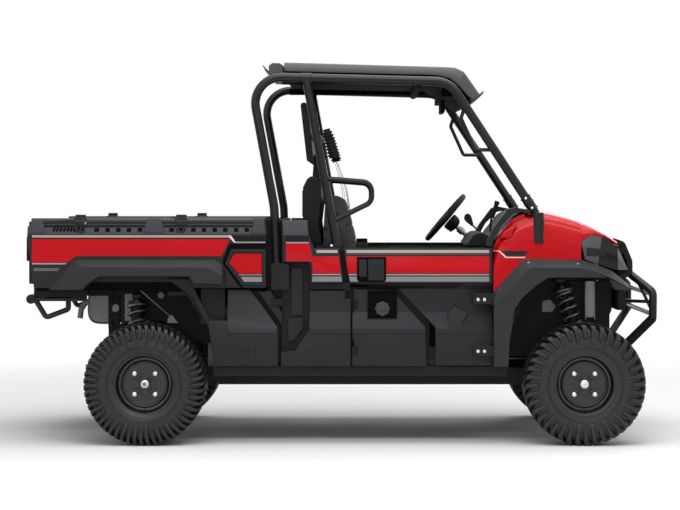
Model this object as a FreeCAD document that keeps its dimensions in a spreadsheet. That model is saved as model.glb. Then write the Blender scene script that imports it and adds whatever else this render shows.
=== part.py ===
"""A side by side utility vehicle with one bench seat and a long tipping bed.

+X points forward, +Y to the vehicle's left and +Z up. The origin is on the ground, midway along and
across the vehicle. Lengths are millimetres and angles degrees.
"""

import FreeCAD, Part

import math
import os

import Sketcher
from FreeCAD import Placement, Rotation, Vector

# The driving sizes: alias, value, what it is.
SIZES = [
    ("wheelbase", 2345, "between the two axles"),
    ("axle_rear_x", -1056, "rear axle, from the middle of the vehicle"),
    ("tyre_radius", 325, "to the tips of the lugs"),
    ("tyre_front_width", 229, "section width of a front tyre"),
    ("tyre_rear_width", 279, "section width of a rear tyre"),
    ("wheels_half_width", 812, "vehicle's middle to a tyre's outer face"),
    ("rim_seat_radius", 152, "bead seat of a wheel"),
    ("rim_front_half", 89, "half the width of a front wheel"),
    ("rim_rear_half", 102, "half the width of a rear wheel"),
    ("rim_wall", 6, "sheet of a wheel"),
    ("rim_lip", 12, "flange above the bead seat"),
    ("hub_radius", 56, "flange that the wheel bolts to"),
    ("spindle_radius", 18, "stub axle"),
    ("running_gap", 0.1, "radial play of a pin in its bore"),
    ("seat_gap", 0.3, "play between two seated pieces"),
    ("body_gap", 7, "gap between panels that part"),
    ("arm_spread", 231, "half the spread of a lower arm's feet"),
    ("kingpin_inset", 212, "steering axis inside a front tyre's outer face"),
    ("ball_rise", 78, "ball joints above and below the axle"),
    ("arm_radius", 14, "suspension arm tube"),
    ("shaft_radius", 15, "drive shafts"),
    ("damper_radius", 24, "damper body"),
    ("spring_radius", 47, "outer radius of a coil spring"),
    ("side_inset", 67, "outer side panels inside a tyre's outer face"),
    ("door_inset", 122, "inner face of the doors inside a tyre's outer face"),
    ("waist_inset", 100, "side panels at their waist inside a tyre's outer face"),
    ("flare_inset", 12, "edge of the wheel arch flares inside a tyre's outer face"),
    ("sill_bottom", 366, "underside of the sills"),
    ("sill_inset", 152, "inner face of the sills inside a tyre's outer face"),
    ("sill_setback", 416, "front end of the sills behind the front axle"),
    ("sill_rear_x", -687, "rear end of the sills"),
    ("panel_bottom", 416, "lower edge of the side panels and top of the sills"),
    ("panel_step", 620, "crease low on the side panels"),
    ("waist_bottom", 716, "lower edge of the waist"),
    ("waist_top", 846, "upper edge of the waist"),
    ("band_bottom", 864, "lower edge of the coloured band"),
    ("door_top", 1051, "upper edge of the doors"),
    ("door_setback", 490, "front edge of the doors behind the front axle"),
    ("foot_setback", 795, "rear edge of a door's foot behind the front axle"),
    ("door_rear_x", 4, "rear top corner of the doors"),
    ("door_gap", 5, "gap in front of the doors"),
    ("hinge_radius", 11, "barrels of the door hinges"),
    ("hinge_stand", 17, "door hinge axis outside the door skin"),
    ("hinge_pin_radius", 5, "pins of the door hinges"),
    ("hinge_barrel", 30, "length of a hinge barrel"),
    ("hinge_low_z", 501, "middle of the lower door hinge"),
    ("hinge_high_z", 776, "middle of the upper door hinge"),
    ("floor_wall", 14, "cab floor sheet"),
    ("toe_setback", 462, "front edge of the flat floor behind the front axle"),
    ("firewall_setback", 342, "front face of the firewall behind the front axle"),
    ("seat_base_rear_x", -145, "rear face of the seat base"),
    ("seat_base_z", 840, "top of the seat base"),
    ("rail_bottom", 300, "underside of the main rails"),
    ("rail_height", 80, "main rail section"),
    ("rail_width", 60, "main rail section"),
    ("rail_inset", 482, "a main rail's middle inside a tyre's outer face"),
    ("frame_reach", 241, "front end of the main rails ahead of the front axle"),
    ("frame_rear_x", -1360, "rear end of the main rails"),
    ("beam_height", 40, "crossmember section"),
    ("plate", 10, "skid plate"),
    ("tower_top", 778, "top of the rear towers"),
    ("upper_rail_height", 46, "rails that the bed tips on"),
    ("front_tower_top", 864, "top of the front towers"),
    ("bed_rear_x", -1684, "rear face of the bed"),
    ("bed_front_x", -325, "front face of the bed"),
    ("bed_skin_x", -410, "front edge of the bed's outer skin"),
    ("bed_inset", 172, "inner face of the bed's walls inside a tyre's outer face"),
    ("bed_wall", 24, "sheet walls of the bed"),
    ("bed_floor_z", 838, "underside of the bed floor"),
    ("bed_floor_wall", 18, "bed floor with its ribs"),
    ("bed_top", 1200, "upper edge of the bed's walls"),
    ("bed_rail_height", 11, "steel rail along the bed's walls"),
    ("tailgate_wall", 36, "tailgate"),
    ("tailgate_pin_radius", 9, "pins that the tailgate turns on"),
    ("bed_pivot_x", -1480, "tipping axis"),
    ("bed_pivot_z", 792, "tipping axis"),
    ("bed_pivot_radius", 12, "pins that the bed tips on"),
    ("flare_top", 992, "upper edge of the flares"),
    ("post_radius", 24, "roll cage tube"),
    ("post_inset", 117, "the cage's side tubes inside a tyre's outer face"),
    ("cage_top", 1966, "middle of the cage's side tubes behind the roof"),
    ("cage_rear_x", -500, "corner that the cage's rear bend rounds"),
    ("cage_bend", 165, "bend of the cage's side tubes"),
    ("pillar_setback", 270, "foot of the front pillars behind the front axle"),
    ("brace_radius", 13, "grab handles and arm guards"),
    ("roof_inset", 172, "edge of the roof inside a tyre's outer face"),
    ("roof_setback", 534, "front lip of the roof behind the front axle"),
    ("roof_rear_x", -323, "rear edge of the roof"),
    ("roof_rise", 85, "top of the roof above the middle of the cage's side tubes"),
    ("skin", 34, "depth of the bonnet and wing shells"),
    ("nose_reach", 268, "front face of the nose ahead of the front axle"),
    ("nose_inset", 292, "edge of the nose's front face inside a tyre's outer face"),
    ("cowl_setback", 290, "joint between dash and bonnet behind the front axle"),
    ("cowl_z", 1248, "top of the dash"),
    ("bonnet_top", 1264, "top of the bonnet"),
    ("bonnet_inset", 342, "edge of the bonnet inside a tyre's outer face"),
    ("bonnet_gap", 4, "gap round the bonnet"),
    ("grille_wall", 45, "grille panel"),
    ("grille_bottom", 700, "lower edge of the grille panel"),
    ("grille_top", 1060, "upper edge of the grille panel"),
    ("lamp_setback", 21, "rear edge of the headlamps behind the front axle"),
    ("lamp_top", 1115, "upper edge of the headlamps"),
    ("lamp_bottom", 845, "lower edge of the headlamps"),
    ("bumper_reach", 401, "front bumper tube ahead of the front axle"),
    ("bumper_radius", 16, "front bumper tube"),
    ("rear_bar_x", -1681, "rear bar"),
    ("rear_bar_z", 773, "rear bar"),
    ("rear_bar_radius", 25, "rear bar"),
    ("wheel_rake", 49.6, "steering wheel's lean from level, in degrees"),
    ("wheel_radius", 158, "steering wheel rim's middle line"),
    ("wheel_grip", 15, "steering wheel rim's section radius"),
    ("wheel_setback", 697, "steering wheel's centre behind the front axle"),
    ("wheel_y", 350, "steering wheel centre"),
    ("wheel_z", 1205, "steering wheel centre"),
    ("column_radius", 20, "steering column"),
    ("seat_side_gap", 70, "gap between the bench and a door"),
    ("seat_pad", 110, "seat cushion"),
    ("back_top", 1356, "top of the seat back"),
    ("hitch_half", 32, "half the outer width of the hitch receiver"),
    ("hitch_bore_half", 26, "half the opening of the hitch receiver"),
    ("hitch_pin_radius", 8.1, "bore for the hitch pin"),
]

document = FreeCAD.newDocument("side_by_side")
sheet = document.addObject("Spreadsheet::Sheet", "Sizes")
for row, (alias, value, note) in enumerate(SIZES, start=1):
    sheet.set(f"A{row}", alias)
    sheet.set(f"B{row}", str(value))
    sheet.set(f"C{row}", note)
    sheet.setAlias(f"B{row}", alias)
document.recompute()


class Length:
    """A size of the sheet, or a sum or share of such sizes, as a number and as its expression."""

    def __init__(self, number, text):
        self.number = float(number)
        self.text = text

    def __float__(self):
        return self.number

    def __add__(self, other):
        other = as_length(other)
        return Length(self.number + other.number, f"({self.text} + {other.text})")

    def __radd__(self, other):
        return as_length(other) + self

    def __sub__(self, other):
        other = as_length(other)
        return Length(self.number - other.number, f"({self.text} - {other.text})")

    def __rsub__(self, other):
        return as_length(other) - self

    def __mul__(self, share):
        return Length(self.number * share, f"({self.text} * {share})")

    __rmul__ = __mul__

    def __truediv__(self, share):
        return Length(self.number / share, f"({self.text} / {share})")

    def __neg__(self):
        return Length(-self.number, f"(-{self.text})")


def as_length(value):
    """The value itself if it is a Length, or a plain zero made one."""
    return value if isinstance(value, Length) else Length(value, str(float(value)))


class Sizes:
    """The sheet's cells by name."""

    def __getattr__(self, alias):
        return Length(sheet.get(alias), f"Sizes.{alias}")


s = Sizes()
nodes = {}


def bind(item, **lengths):
    """Binds properties of an object to the sheet; a double underscore stands for a dot."""
    for name, length in lengths.items():
        item.setExpression(name.replace("__", "."), as_length(length).text)


def node(name, item):
    """Keeps an object as one of the vehicle's named pieces."""
    item.Label = name
    nodes[name] = item
    return item


def origin_plane(body, role):
    """A body's own origin plane or axis."""
    return next(item for item in body.Origin.OriginFeatures if item.Role == role)


def outline_sketch(body, role, points, start=0.0):
    """A closed outline on a plane of the body, each corner held by two bound distances."""
    sketch = body.newObject("Sketcher::SketchObject", "outline")
    sketch.AttachmentSupport = [(origin_plane(body, role), "")]
    sketch.MapMode = "FlatFace"
    corners = [(as_length(across), as_length(up)) for across, up in points]
    places = [Vector(float(across), float(up), 0) for across, up in corners]
    count = len(places)
    for index in range(count):
        sketch.addGeometry(Part.LineSegment(places[index], places[(index + 1) % count]), False)
    joined = [Sketcher.Constraint("Coincident", index, 2, (index + 1) % count, 1) for index in range(count)]
    held = []
    for index, (across, up) in enumerate(corners):
        held.append(Sketcher.Constraint("DistanceX", index, 1, float(across)))
        held.append(Sketcher.Constraint("DistanceY", index, 1, float(up)))
    sketch.addConstraint(joined + held)
    for index, (across, up) in enumerate(corners):
        sketch.setExpression(f"Constraints[{count + 2 * index}]", across.text)
        sketch.setExpression(f"Constraints[{count + 2 * index + 1}]", up.text)
    if float(start):
        sketch.setExpression("AttachmentOffset.Base.z", as_length(start).text)
    return sketch


def slab(points, thickness, start=0.0, role="XZ_Plane", both=False):
    """A flat piece: an outline padded from start. On XZ it grows to the right side, towards -Y."""
    body = document.addObject("PartDesign::Body", "slab")
    sketch = outline_sketch(body, role, points, start)
    document.recompute()
    pad = body.newObject("PartDesign::Pad", "pad")
    pad.Profile = sketch
    if both:
        pad.SideType = "Symmetric"
    pad.setExpression("Length", as_length(thickness).text)
    sketch.Visibility = False
    return body


def turned(points, place=None, rotation=None):
    """A round piece about the Y axis: points are (along Y, radius)."""
    body = document.addObject("PartDesign::Body", "turned")
    sketch = outline_sketch(body, "YZ_Plane", points)
    document.recompute()
    turn = body.newObject("PartDesign::Revolution", "turn")
    turn.Profile = sketch
    turn.ReferenceAxis = (sketch, ["H_Axis"])
    if place:
        move(body, place)
    if rotation:
        body.Placement = Placement(body.Placement.Base, rotation)
    return body


def move(item, place):
    """Binds an object's place."""
    x, y, z = place
    bind(item, Placement__Base__x=x, Placement__Base__y=y, Placement__Base__z=z)
    item.Placement = Placement(Vector(float(x), float(y), float(z)), item.Placement.Rotation)


def block(low, high):
    """A box between two corners."""
    box = document.addObject("Part::Box", "block")
    (x0, y0, z0), (x1, y1, z1) = low, high
    bind(box, Length=as_length(x1) - x0, Width=as_length(y1) - y0, Height=as_length(z1) - z0)
    move(box, low)
    return box


def point(place):
    """A place as a vector of plain numbers."""
    return Vector(*(float(part) for part in place))


def rod(start, end, radius):
    """A round bar between two places."""
    first, last = point(start), point(end)
    bar = document.addObject("Part::Cylinder", "rod")
    bind(bar, Radius=radius)
    bar.Height = (last - first).Length
    bar.Placement = Placement(first, Rotation(Vector(0, 0, 1), last - first))
    return bar


def bend_path(places, bends):
    """Straight runs through the places with an arc of its own radius at each corner."""
    corners = [point(place) for place in places]
    edges = []
    here = corners[0]
    for before, corner, after, bend in zip(corners, corners[1:], corners[2:], bends):
        back = (before - corner).normalize()
        ahead = (after - corner).normalize()
        half = back.getAngle(ahead) / 2
        reach = float(bend) / math.tan(half)
        middle = (back + ahead).normalize()
        depth = float(bend) / math.sin(half) - float(bend)
        first, last = corner + back * reach, corner + ahead * reach
        edges.append(Part.LineSegment(here, first).toShape())
        edges.append(Part.Arc(first, corner + middle * depth, last).toShape())
        here = last
    edges.append(Part.LineSegment(here, corners[-1]).toShape())
    return Part.Wire(edges)


def bent_tube(places, radius, *bends):
    """A tube swept along straight runs and bends; one bend given serves every corner."""
    if len(bends) == 1:
        bends = bends * (len(places) - 2)
    path = document.addObject("Part::Feature", "path")
    path.Shape = bend_path(places, bends)
    first, second = point(places[0]), point(places[1])
    section = document.addObject("Part::Circle", "section")
    bind(section, Radius=radius)
    section.Placement = Placement(first, Rotation(Vector(0, 0, 1), second - first))
    sweep = document.addObject("Part::Sweep", "tube")
    sweep.Sections = [section]
    sweep.Spine = (path, [f"Edge{index + 1}" for index in range(len(path.Shape.Edges))])
    sweep.Solid = True
    sweep.Frenet = True
    return sweep


def fuse(*items):
    """One piece of several that meet."""
    joined = document.addObject("Part::MultiFuse", "joined")
    joined.Shapes = list(items)
    return joined


def group(*items):
    """Several pieces that do not touch, kept as one node."""
    kept = document.addObject("Part::Compound", "set")
    kept.Links = list(items)
    return kept


def cut(base, tool):
    """The base less the tool."""
    result = document.addObject("Part::Cut", "less")
    result.Base = base
    result.Tool = tool
    return result


def common(first, second):
    """What two shapes share."""
    result = document.addObject("Part::MultiCommon", "shared")
    result.Shapes = [first, second]
    return result


def framed(shares, low_x, high_x, low_z, high_z):
    """An outline's corners from shares of a frame between two places across and two up."""
    return [(low_x + (high_x - low_x) * across, low_z + (high_z - low_z) * up) for across, up in shares]


def mirrored(item):
    """The same piece on the vehicle's left side."""
    twin = document.addObject("Part::Mirroring", "twin")
    twin.Source = item
    twin.Normal = Vector(0, 1, 0)
    return twin


def pair(item):
    """A piece and its twin on the other side as one node."""
    return group(item, mirrored(item))


zero = as_length(0)
axle_front_x = s.axle_rear_x + s.wheelbase
sill_front_x = axle_front_x - s.sill_setback
door_front_x = axle_front_x - s.door_setback
door_foot_x = axle_front_x - s.foot_setback
toe_x = axle_front_x - s.toe_setback
firewall_x = axle_front_x - s.firewall_setback
seat_base_front_x = door_foot_x - s.rail_width * 0.5
frame_front_x = axle_front_x + s.frame_reach
cage_front_x = axle_front_x - s.pillar_setback
roof_front_x = axle_front_x - s.roof_setback
nose_x = axle_front_x + s.nose_reach
cowl_x = axle_front_x - s.cowl_setback
lamp_rear_x = axle_front_x - s.lamp_setback
bumper_x = axle_front_x + s.bumper_reach
wheel_x = axle_front_x - s.wheel_setback
side_y = s.wheels_half_width - s.side_inset
side_inner_y = s.wheels_half_width - s.door_inset
side_waist_y = s.wheels_half_width - s.waist_inset
flare_y = s.wheels_half_width - s.flare_inset
sill_inner_y = s.wheels_half_width - s.sill_inset
bed_inner_y = s.wheels_half_width - s.bed_inset
post_y = s.wheels_half_width - s.post_inset
roof_half = s.wheels_half_width - s.roof_inset
nose_half = s.wheels_half_width - s.nose_inset
bonnet_half = s.wheels_half_width - s.bonnet_inset
wheel_front_y = s.wheels_half_width - s.tyre_front_width * 0.5
wheel_rear_y = s.wheels_half_width - s.tyre_rear_width * 0.5
kingpin_y = s.wheels_half_width - s.kingpin_inset
rail_y = s.wheels_half_width - s.rail_inset
roof_top = s.cage_top + s.roof_rise
seat_half = side_inner_y - s.seat_side_gap


# Wheels and tyres
def tyre(width, rim_half, centre_y, axle_x):
    """A ring with its beads between the rim's flanges and rounded walls, out to the tips of its lugs."""
    radius, seat = s.tyre_radius, s.rim_seat_radius + s.seat_gap
    depth = s.tyre_radius - s.rim_seat_radius
    half = width * 0.5
    bead = rim_half - s.seat_gap
    right = [(bead, seat), (bead, seat + s.rim_lip), (half * 0.95, seat + depth * 0.22), (half, seat + depth * 0.48),
             (half * 0.97, radius - depth * 0.22), (half * 0.84, radius)]
    left = [(-across, up) for across, up in reversed(right)]
    return turned(right + left, (axle_x, -centre_y, s.tyre_radius))


def rim(half, centre_y, axle_x):
    """A pressed steel wheel: barrel with a drop centre, flanges, a dished disc and the hub behind it."""
    wall, seat, lip = s.rim_wall, s.rim_seat_radius, s.rim_lip
    well = seat - s.rim_lip * 2
    ledge = half * 0.3
    disc = half * 0.5
    bore = s.spindle_radius + s.running_gap
    out = -half
    points = [
        (out - wall, seat + lip), (out, seat + lip), (out, seat), (out + ledge, seat),
        (out + ledge + wall, well), (half - ledge - wall, well), (half - ledge, seat), (half, seat),
        (half, seat + lip), (half + wall, seat + lip), (half + wall, seat - wall), (half - ledge + wall, seat - wall),
        (half - ledge - wall, well - wall), (out + disc + wall, well - wall), (out + disc + wall * 2, seat * 0.66),
        (out + disc - wall, seat * 0.60), (out + disc - wall, s.hub_radius), (half * 0.28, s.hub_radius),
        (half * 0.28, bore), (out + disc - wall * 3, bore), (out + disc - wall * 3, s.hub_radius * 0.6),
        (out + disc - wall * 2, s.hub_radius), (out + disc - wall * 2, seat * 0.60 + wall),
        (out + disc + wall, seat * 0.66 + wall), (out + ledge + wall, well - wall), (out + ledge - wall, seat - wall),
        (out - wall, seat - wall),
    ]
    return turned(points, (axle_x, -centre_y, s.tyre_radius))


for place, width, half, centre_y, axle_x in (
        ("front", s.tyre_front_width, s.rim_front_half, wheel_front_y, axle_front_x),
        ("rear", s.tyre_rear_width, s.rim_rear_half, wheel_rear_y, s.axle_rear_x)):
    tyre_right = node(f"tyre_{place}_right", tyre(width, half, centre_y, axle_x))
    node(f"tyre_{place}_left", mirrored(tyre_right))
    rim_right = node(f"rim_{place}_right", rim(half, centre_y, axle_x))
    node(f"rim_{place}_left", mirrored(rim_right))


# Hub carriers: the front ones steer, the rear ones stand still
eye_low = s.ball_rise + s.seat_gap
eye_high = eye_low + s.arm_radius * 2
stud_radius = s.arm_radius * 0.6


def carrier(axle_x, centre_y, half):
    """An upright with a stud in each arm's eye and the stub axle that the wheel turns on."""
    upright = block((axle_x - s.hub_radius * 0.5, -kingpin_y - s.arm_radius, s.tyre_radius - s.ball_rise + s.body_gap),
                    (axle_x + s.hub_radius * 0.5, -kingpin_y + s.arm_radius, s.tyre_radius + s.ball_rise - s.body_gap))
    studs = rod((axle_x, -kingpin_y, s.tyre_radius - eye_high), (axle_x, -kingpin_y, s.tyre_radius + eye_high),
                stud_radius)
    housing = rod((axle_x, -kingpin_y, s.tyre_radius), (axle_x, -kingpin_y - s.arm_radius * 2, s.tyre_radius),
                  s.hub_radius * 0.8)
    tip = -centre_y - half * 0.5 - s.rim_wall * 4
    spindle = rod((axle_x, -kingpin_y, s.tyre_radius), (axle_x, tip, s.tyre_radius), s.spindle_radius)
    return upright, studs, housing, spindle


arm_tip = (axle_front_x - s.ball_rise * 1.3, -kingpin_y + s.ball_rise * 0.3, s.tyre_radius + s.arm_radius * 2)
steer_arm = rod((axle_front_x, -kingpin_y, s.tyre_radius + s.arm_radius * 2), arm_tip, s.arm_radius * 0.8)
knuckle = node("knuckle_right", fuse(*carrier(axle_front_x, wheel_front_y, s.rim_front_half), steer_arm))
node("knuckle_left", mirrored(knuckle))
node("rear_carriers", pair(fuse(*carrier(s.axle_rear_x, wheel_rear_y, s.rim_rear_half))))

# Frame: two main rails, crossmembers, outriggers, towers and the rails that the bed tips on
rail_top = s.rail_bottom + s.rail_height
rail_in = rail_y - s.rail_width * 0.5
rail_out = rail_y + s.rail_width * 0.5
case_z = s.rail_bottom + s.rail_height * 0.5


boot_in_y = s.rail_width * 1.3 + s.seat_gap
boot_out_y = kingpin_y - s.hub_radius * 0.6
boot_length = s.hub_radius * 0.8


def half_shaft(axle_x, radius):
    """A shaft between the boots of a gear case and a hub carrier."""
    return rod((axle_x, -boot_in_y - boot_length * 0.5, case_z),
               (axle_x, -boot_out_y + boot_length * 0.5, s.tyre_radius), radius)


def boots(axle_x):
    """The boots at a half shaft's two ends."""
    return [rod((axle_x, -boot_in_y, case_z), (axle_x, -boot_in_y - boot_length, case_z), s.shaft_radius * 2),
            rod((axle_x, -boot_out_y, s.tyre_radius), (axle_x, -boot_out_y + boot_length, s.tyre_radius),
                s.shaft_radius * 2)]


main_rail = block((s.frame_rear_x, -rail_out, s.rail_bottom), (frame_front_x, -rail_in, rail_top))
shaft_holes = group(*[half_shaft(axle_x, s.shaft_radius + s.door_gap) for axle_x in (s.axle_rear_x, axle_front_x)])
node("main_rails", pair(cut(main_rail, shaft_holes)))

sill = slab([(s.sill_rear_x, s.sill_bottom), (sill_front_x, s.sill_bottom),
             (sill_front_x + s.plate, s.panel_bottom), (s.sill_rear_x - s.plate, s.panel_bottom)],
            side_waist_y - sill_inner_y, start=sill_inner_y)
node("sills", pair(sill))

case_half_x = s.rail_width * 1.15
beams = []
outrigger_shares = (0.0, 0.22, 0.46, 0.72, 1.0)
for share in outrigger_shares:
    here = s.sill_rear_x + (sill_front_x - s.sill_rear_x - s.rail_width) * share
    beams.append(block((here, -rail_in, rail_top - s.beam_height), (here + s.rail_width, rail_in, rail_top)))
    outrigger = block((here, -sill_inner_y, rail_top - s.beam_height * 0.6), (here + s.rail_width, -rail_out, rail_top))
    beams += [outrigger, mirrored(outrigger)]
for here in (s.axle_rear_x - case_half_x - s.rail_width, s.axle_rear_x + case_half_x,
             axle_front_x - case_half_x - s.rail_width, axle_front_x + case_half_x):
    beams.append(block((here, -rail_in, rail_top - s.beam_height), (here + s.rail_width, rail_in, rail_top)))
cage_beam_x = s.bed_front_x - s.post_radius * 2.4
beams.append(block((cage_beam_x, -post_y - s.post_radius, s.tower_top - s.beam_height),
                   (cage_beam_x + s.rail_width, post_y + s.post_radius, s.tower_top)))
node("crossmembers", group(*beams))

towers = []
for here, top in ((s.axle_rear_x - s.rail_width * 4, s.tower_top), (s.axle_rear_x + s.rail_width * 3, s.tower_top),
                  (axle_front_x - s.rail_width * 3, s.front_tower_top),
                  (axle_front_x + s.rail_width * 2, s.front_tower_top)):
    leg = block((here, -rail_out, rail_top), (here + s.rail_width, -rail_in, top))
    towers += [leg, mirrored(leg)]
node("tower_legs", group(*towers))

upper_top = s.tower_top + s.upper_rail_height
grille_back_x = nose_x - s.grille_wall - s.skin * 0.4
bed_rail = block((s.bed_pivot_x - s.bed_pivot_radius * 1.4, -rail_out, s.tower_top),
                 (s.bed_front_x + s.rail_width, -rail_in, upper_top))
pivot_pin = rod((s.bed_pivot_x, -rail_out, s.bed_pivot_z + s.bed_pivot_radius), (s.bed_pivot_x, -rail_out - s.rail_width, s.bed_pivot_z + s.bed_pivot_radius),
                s.bed_pivot_radius)
tip_rail = fuse(bed_rail, pivot_pin)
nose_rail = block((axle_front_x - s.rail_width * 3, -rail_out, s.front_tower_top),
                  (grille_back_x, -rail_in, s.front_tower_top + s.upper_rail_height))
node("upper_rails", group(tip_rail, mirrored(tip_rail), nose_rail, mirrored(nose_rail)))

# Belly plate, floor, seat base and the bulkhead behind the seat
node("skid_plate", block((s.sill_rear_x, -rail_out, s.rail_bottom - s.plate),
                         (axle_front_x - case_half_x - s.rail_width, rail_out, s.rail_bottom)))
fixed_inner_y = side_inner_y - s.body_gap
floor_top = s.panel_bottom + s.floor_wall
flat_floor = block((seat_base_front_x, -fixed_inner_y, s.panel_bottom), (toe_x, fixed_inner_y, floor_top))
toe_points = [(toe_x, s.panel_bottom), (firewall_x, s.waist_bottom), (firewall_x, s.door_top),
              (firewall_x - s.floor_wall, s.door_top), (firewall_x - s.floor_wall, s.waist_bottom),
              (toe_x - s.floor_wall, floor_top), (toe_x - s.floor_wall, s.panel_bottom)]
toe_board = slab(toe_points, fixed_inner_y * 2, both=True)
node("floor_pan", fuse(flat_floor, toe_board))
node("seat_base", block((s.seat_base_rear_x, -fixed_inner_y, s.panel_bottom),
                        (seat_base_front_x, fixed_inner_y, s.seat_base_z)))
bulkhead_top = s.door_top + s.beam_height * 0.3
bulkhead_x = s.seat_base_rear_x + s.beam_height
rear_wall = block((s.seat_base_rear_x, -fixed_inner_y, s.seat_base_z), (bulkhead_x, fixed_inner_y, bulkhead_top))
engine_side = block((s.bed_front_x - s.rail_width * 4.8, -sill_inner_y - s.plate, s.panel_bottom),
                    (s.seat_base_rear_x, -sill_inner_y, s.bed_floor_z - s.body_gap))
beam_notch = block((cage_beam_x - s.seat_gap, -side_y, s.tower_top - s.beam_height - s.seat_gap),
                   (cage_beam_x + s.rail_width + s.seat_gap, zero, s.tower_top + s.seat_gap))
engine_side_top = block((s.bed_front_x + s.plate, -sill_inner_y - s.plate, s.bed_floor_z - s.body_gap * 2),
                        (s.seat_base_rear_x, -sill_inner_y, s.band_bottom + s.rail_width * 1.6))
engine_side = cut(fuse(engine_side, engine_side_top), beam_notch)
node("bulkhead", group(rear_wall, engine_side, mirrored(engine_side)))

# Engine, gear cases, shafts and exhaust
node("engine_block", block((s.axle_rear_x + s.rail_width * 5, -rail_y * 0.75, rail_top),
                           (s.seat_base_rear_x - s.beam_height, rail_y * 0.75, s.tower_top - s.rail_width)))
case_shares = [(-1.0, -0.5), (-0.6, -1.0), (0.6, -1.0), (1.0, -0.5), (1.0, 0.5), (0.6, 1.0), (-0.6, 1.0), (-1.0, 0.5)]
case_half_z = s.hub_radius
cases = []
for axle_x in (s.axle_rear_x, axle_front_x):
    corners = framed(case_shares, axle_x, axle_x + case_half_x, case_z, case_z + case_half_z)
    cases.append(slab(corners, s.rail_width * 2.6, both=True))
node("gear_cases", group(*cases))
shafts = []
for axle_x in (s.axle_rear_x, axle_front_x):
    shaft = fuse(half_shaft(axle_x, s.shaft_radius), *boots(axle_x))
    shafts += [shaft, mirrored(shaft)]
prop_z = s.rail_bottom + s.shaft_radius * 0.8
shafts.append(rod((s.axle_rear_x + case_half_x, zero, prop_z), (axle_front_x - case_half_x, zero, prop_z), s.shaft_radius * 0.7))
node("drive_shafts", group(*shafts))

muffler_x = s.axle_rear_x - s.rail_width * 4.7
muffler_z = s.tower_top - s.rail_width
muffler_shares = [(-1.0, -1.3), (-0.65, -1.7), (0.65, -1.7), (1.0, -1.3), (1.0, 1.35), (0.65, 1.75), (-0.65, 1.75),
                  (-1.0, 1.35)]
can = slab(framed(muffler_shares, muffler_x, muffler_x + s.rail_width * 1.3, muffler_z, muffler_z + s.rail_width),
           rail_in * 1.6, both=True)
pipe_y, pipe_z = -rail_in * 0.7, muffler_z + s.rail_width * 0.2
pipe = bent_tube([(muffler_x, pipe_y, pipe_z), (muffler_x - s.rail_width * 1.75, pipe_y, pipe_z),
                  (muffler_x - s.rail_width * 2.3, pipe_y, muffler_z - s.rail_width * 1.2)],
                 s.column_radius, s.column_radius * 2)
hanger = block((muffler_x - s.plate, -rail_in, s.tower_top), (muffler_x + s.plate, rail_in, s.tower_top + s.plate))
node("muffler", fuse(can, pipe, hanger))


# Suspension: two arms a side with a damper and its spring to the tower
leg_radius = s.arm_radius * 0.75


def arms(axle_x):
    """An upper and a lower arm, each of two tubes that meet under the ball joint."""
    made = []
    middle = (eye_low + eye_high) * 0.5
    for rise, spread_share in ((middle, 0.943), (-middle, 1.0)):
        ball = (axle_x, -kingpin_y, s.tyre_radius + rise)
        foot_y, foot_z = -rail_out - leg_radius, s.tyre_radius + rise * 0.75
        feet = [(axle_x + s.arm_spread * spread_share * side, foot_y, foot_z) for side in (-1, 1)]
        eye = rod((axle_x, -kingpin_y, ball[2] - s.arm_radius), (axle_x, -kingpin_y, ball[2] + s.arm_radius),
                  s.arm_radius * 1.4)
        legs = [rod(ball, foot, leg_radius) for foot in feet]
        if rise.number < 0:
            near, far = [tuple((point(ball) + point(foot)) * 0.5) for foot in feet]
            legs.append(rod(near, far, leg_radius))
        bore = rod((axle_x, -kingpin_y, s.tyre_radius - eye_high * 2), (axle_x, -kingpin_y, s.tyre_radius + eye_high * 2),
                   stud_radius + s.running_gap)
        made.append(cut(fuse(eye, *legs), bore))
    return made


front_arms = arms(axle_front_x)
rear_arms = arms(s.axle_rear_x)
node("suspension_arms", group(*front_arms, *rear_arms, *[mirrored(arm) for arm in front_arms + rear_arms]))

dampers, springs = [], []
spring_shares = (0.35, 0.38, 0.92, 0.95)
struts = ((s.axle_rear_x, -s.rail_width * 0.85, -s.rail_width * 1.3, s.tower_top),
          (axle_front_x, s.rail_width * 1.2, -s.rail_width * 1.6, s.front_tower_top))
for axle_x, foot, head, top_z in struts:
    low_rise = (eye_low + eye_high) * 0.5 * 0.875
    low_y = (kingpin_y + rail_out + leg_radius) * 0.5
    first = point((axle_x + foot, -low_y, s.tyre_radius - low_rise))
    saddle = rod((axle_x - s.arm_spread, -low_y, s.tyre_radius - low_rise),
                 (axle_x + s.arm_spread, -low_y, s.tyre_radius - low_rise),
                 leg_radius + s.seat_gap)
    last = point((axle_x + head, -rail_out - s.spring_radius - s.plate, top_z))
    along = last - first
    seat_low, spring_low, spring_high, seat_high = [tuple(first + along * share) for share in spring_shares]
    damper = fuse(rod(tuple(first), spring_low, s.damper_radius), rod(spring_low, tuple(last), s.damper_radius * 0.5),
                  rod(seat_low, spring_low, s.spring_radius), rod(spring_high, seat_high, s.spring_radius),
                  block((axle_x + head - s.damper_radius, -rail_out - s.spring_radius * 1.7, top_z - s.plate * 0.5),
                        (axle_x + head + s.damper_radius, -rail_out, top_z + s.plate)))
    damper = cut(damper, saddle)
    dampers += [damper, mirrored(damper)]
    spring = cut(rod(spring_low, spring_high, s.spring_radius), rod(seat_low, seat_high, s.spring_radius - s.plate))
    springs += [spring, mirrored(spring)]
node("dampers", group(*dampers))
node("coil_springs", group(*springs))

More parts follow.
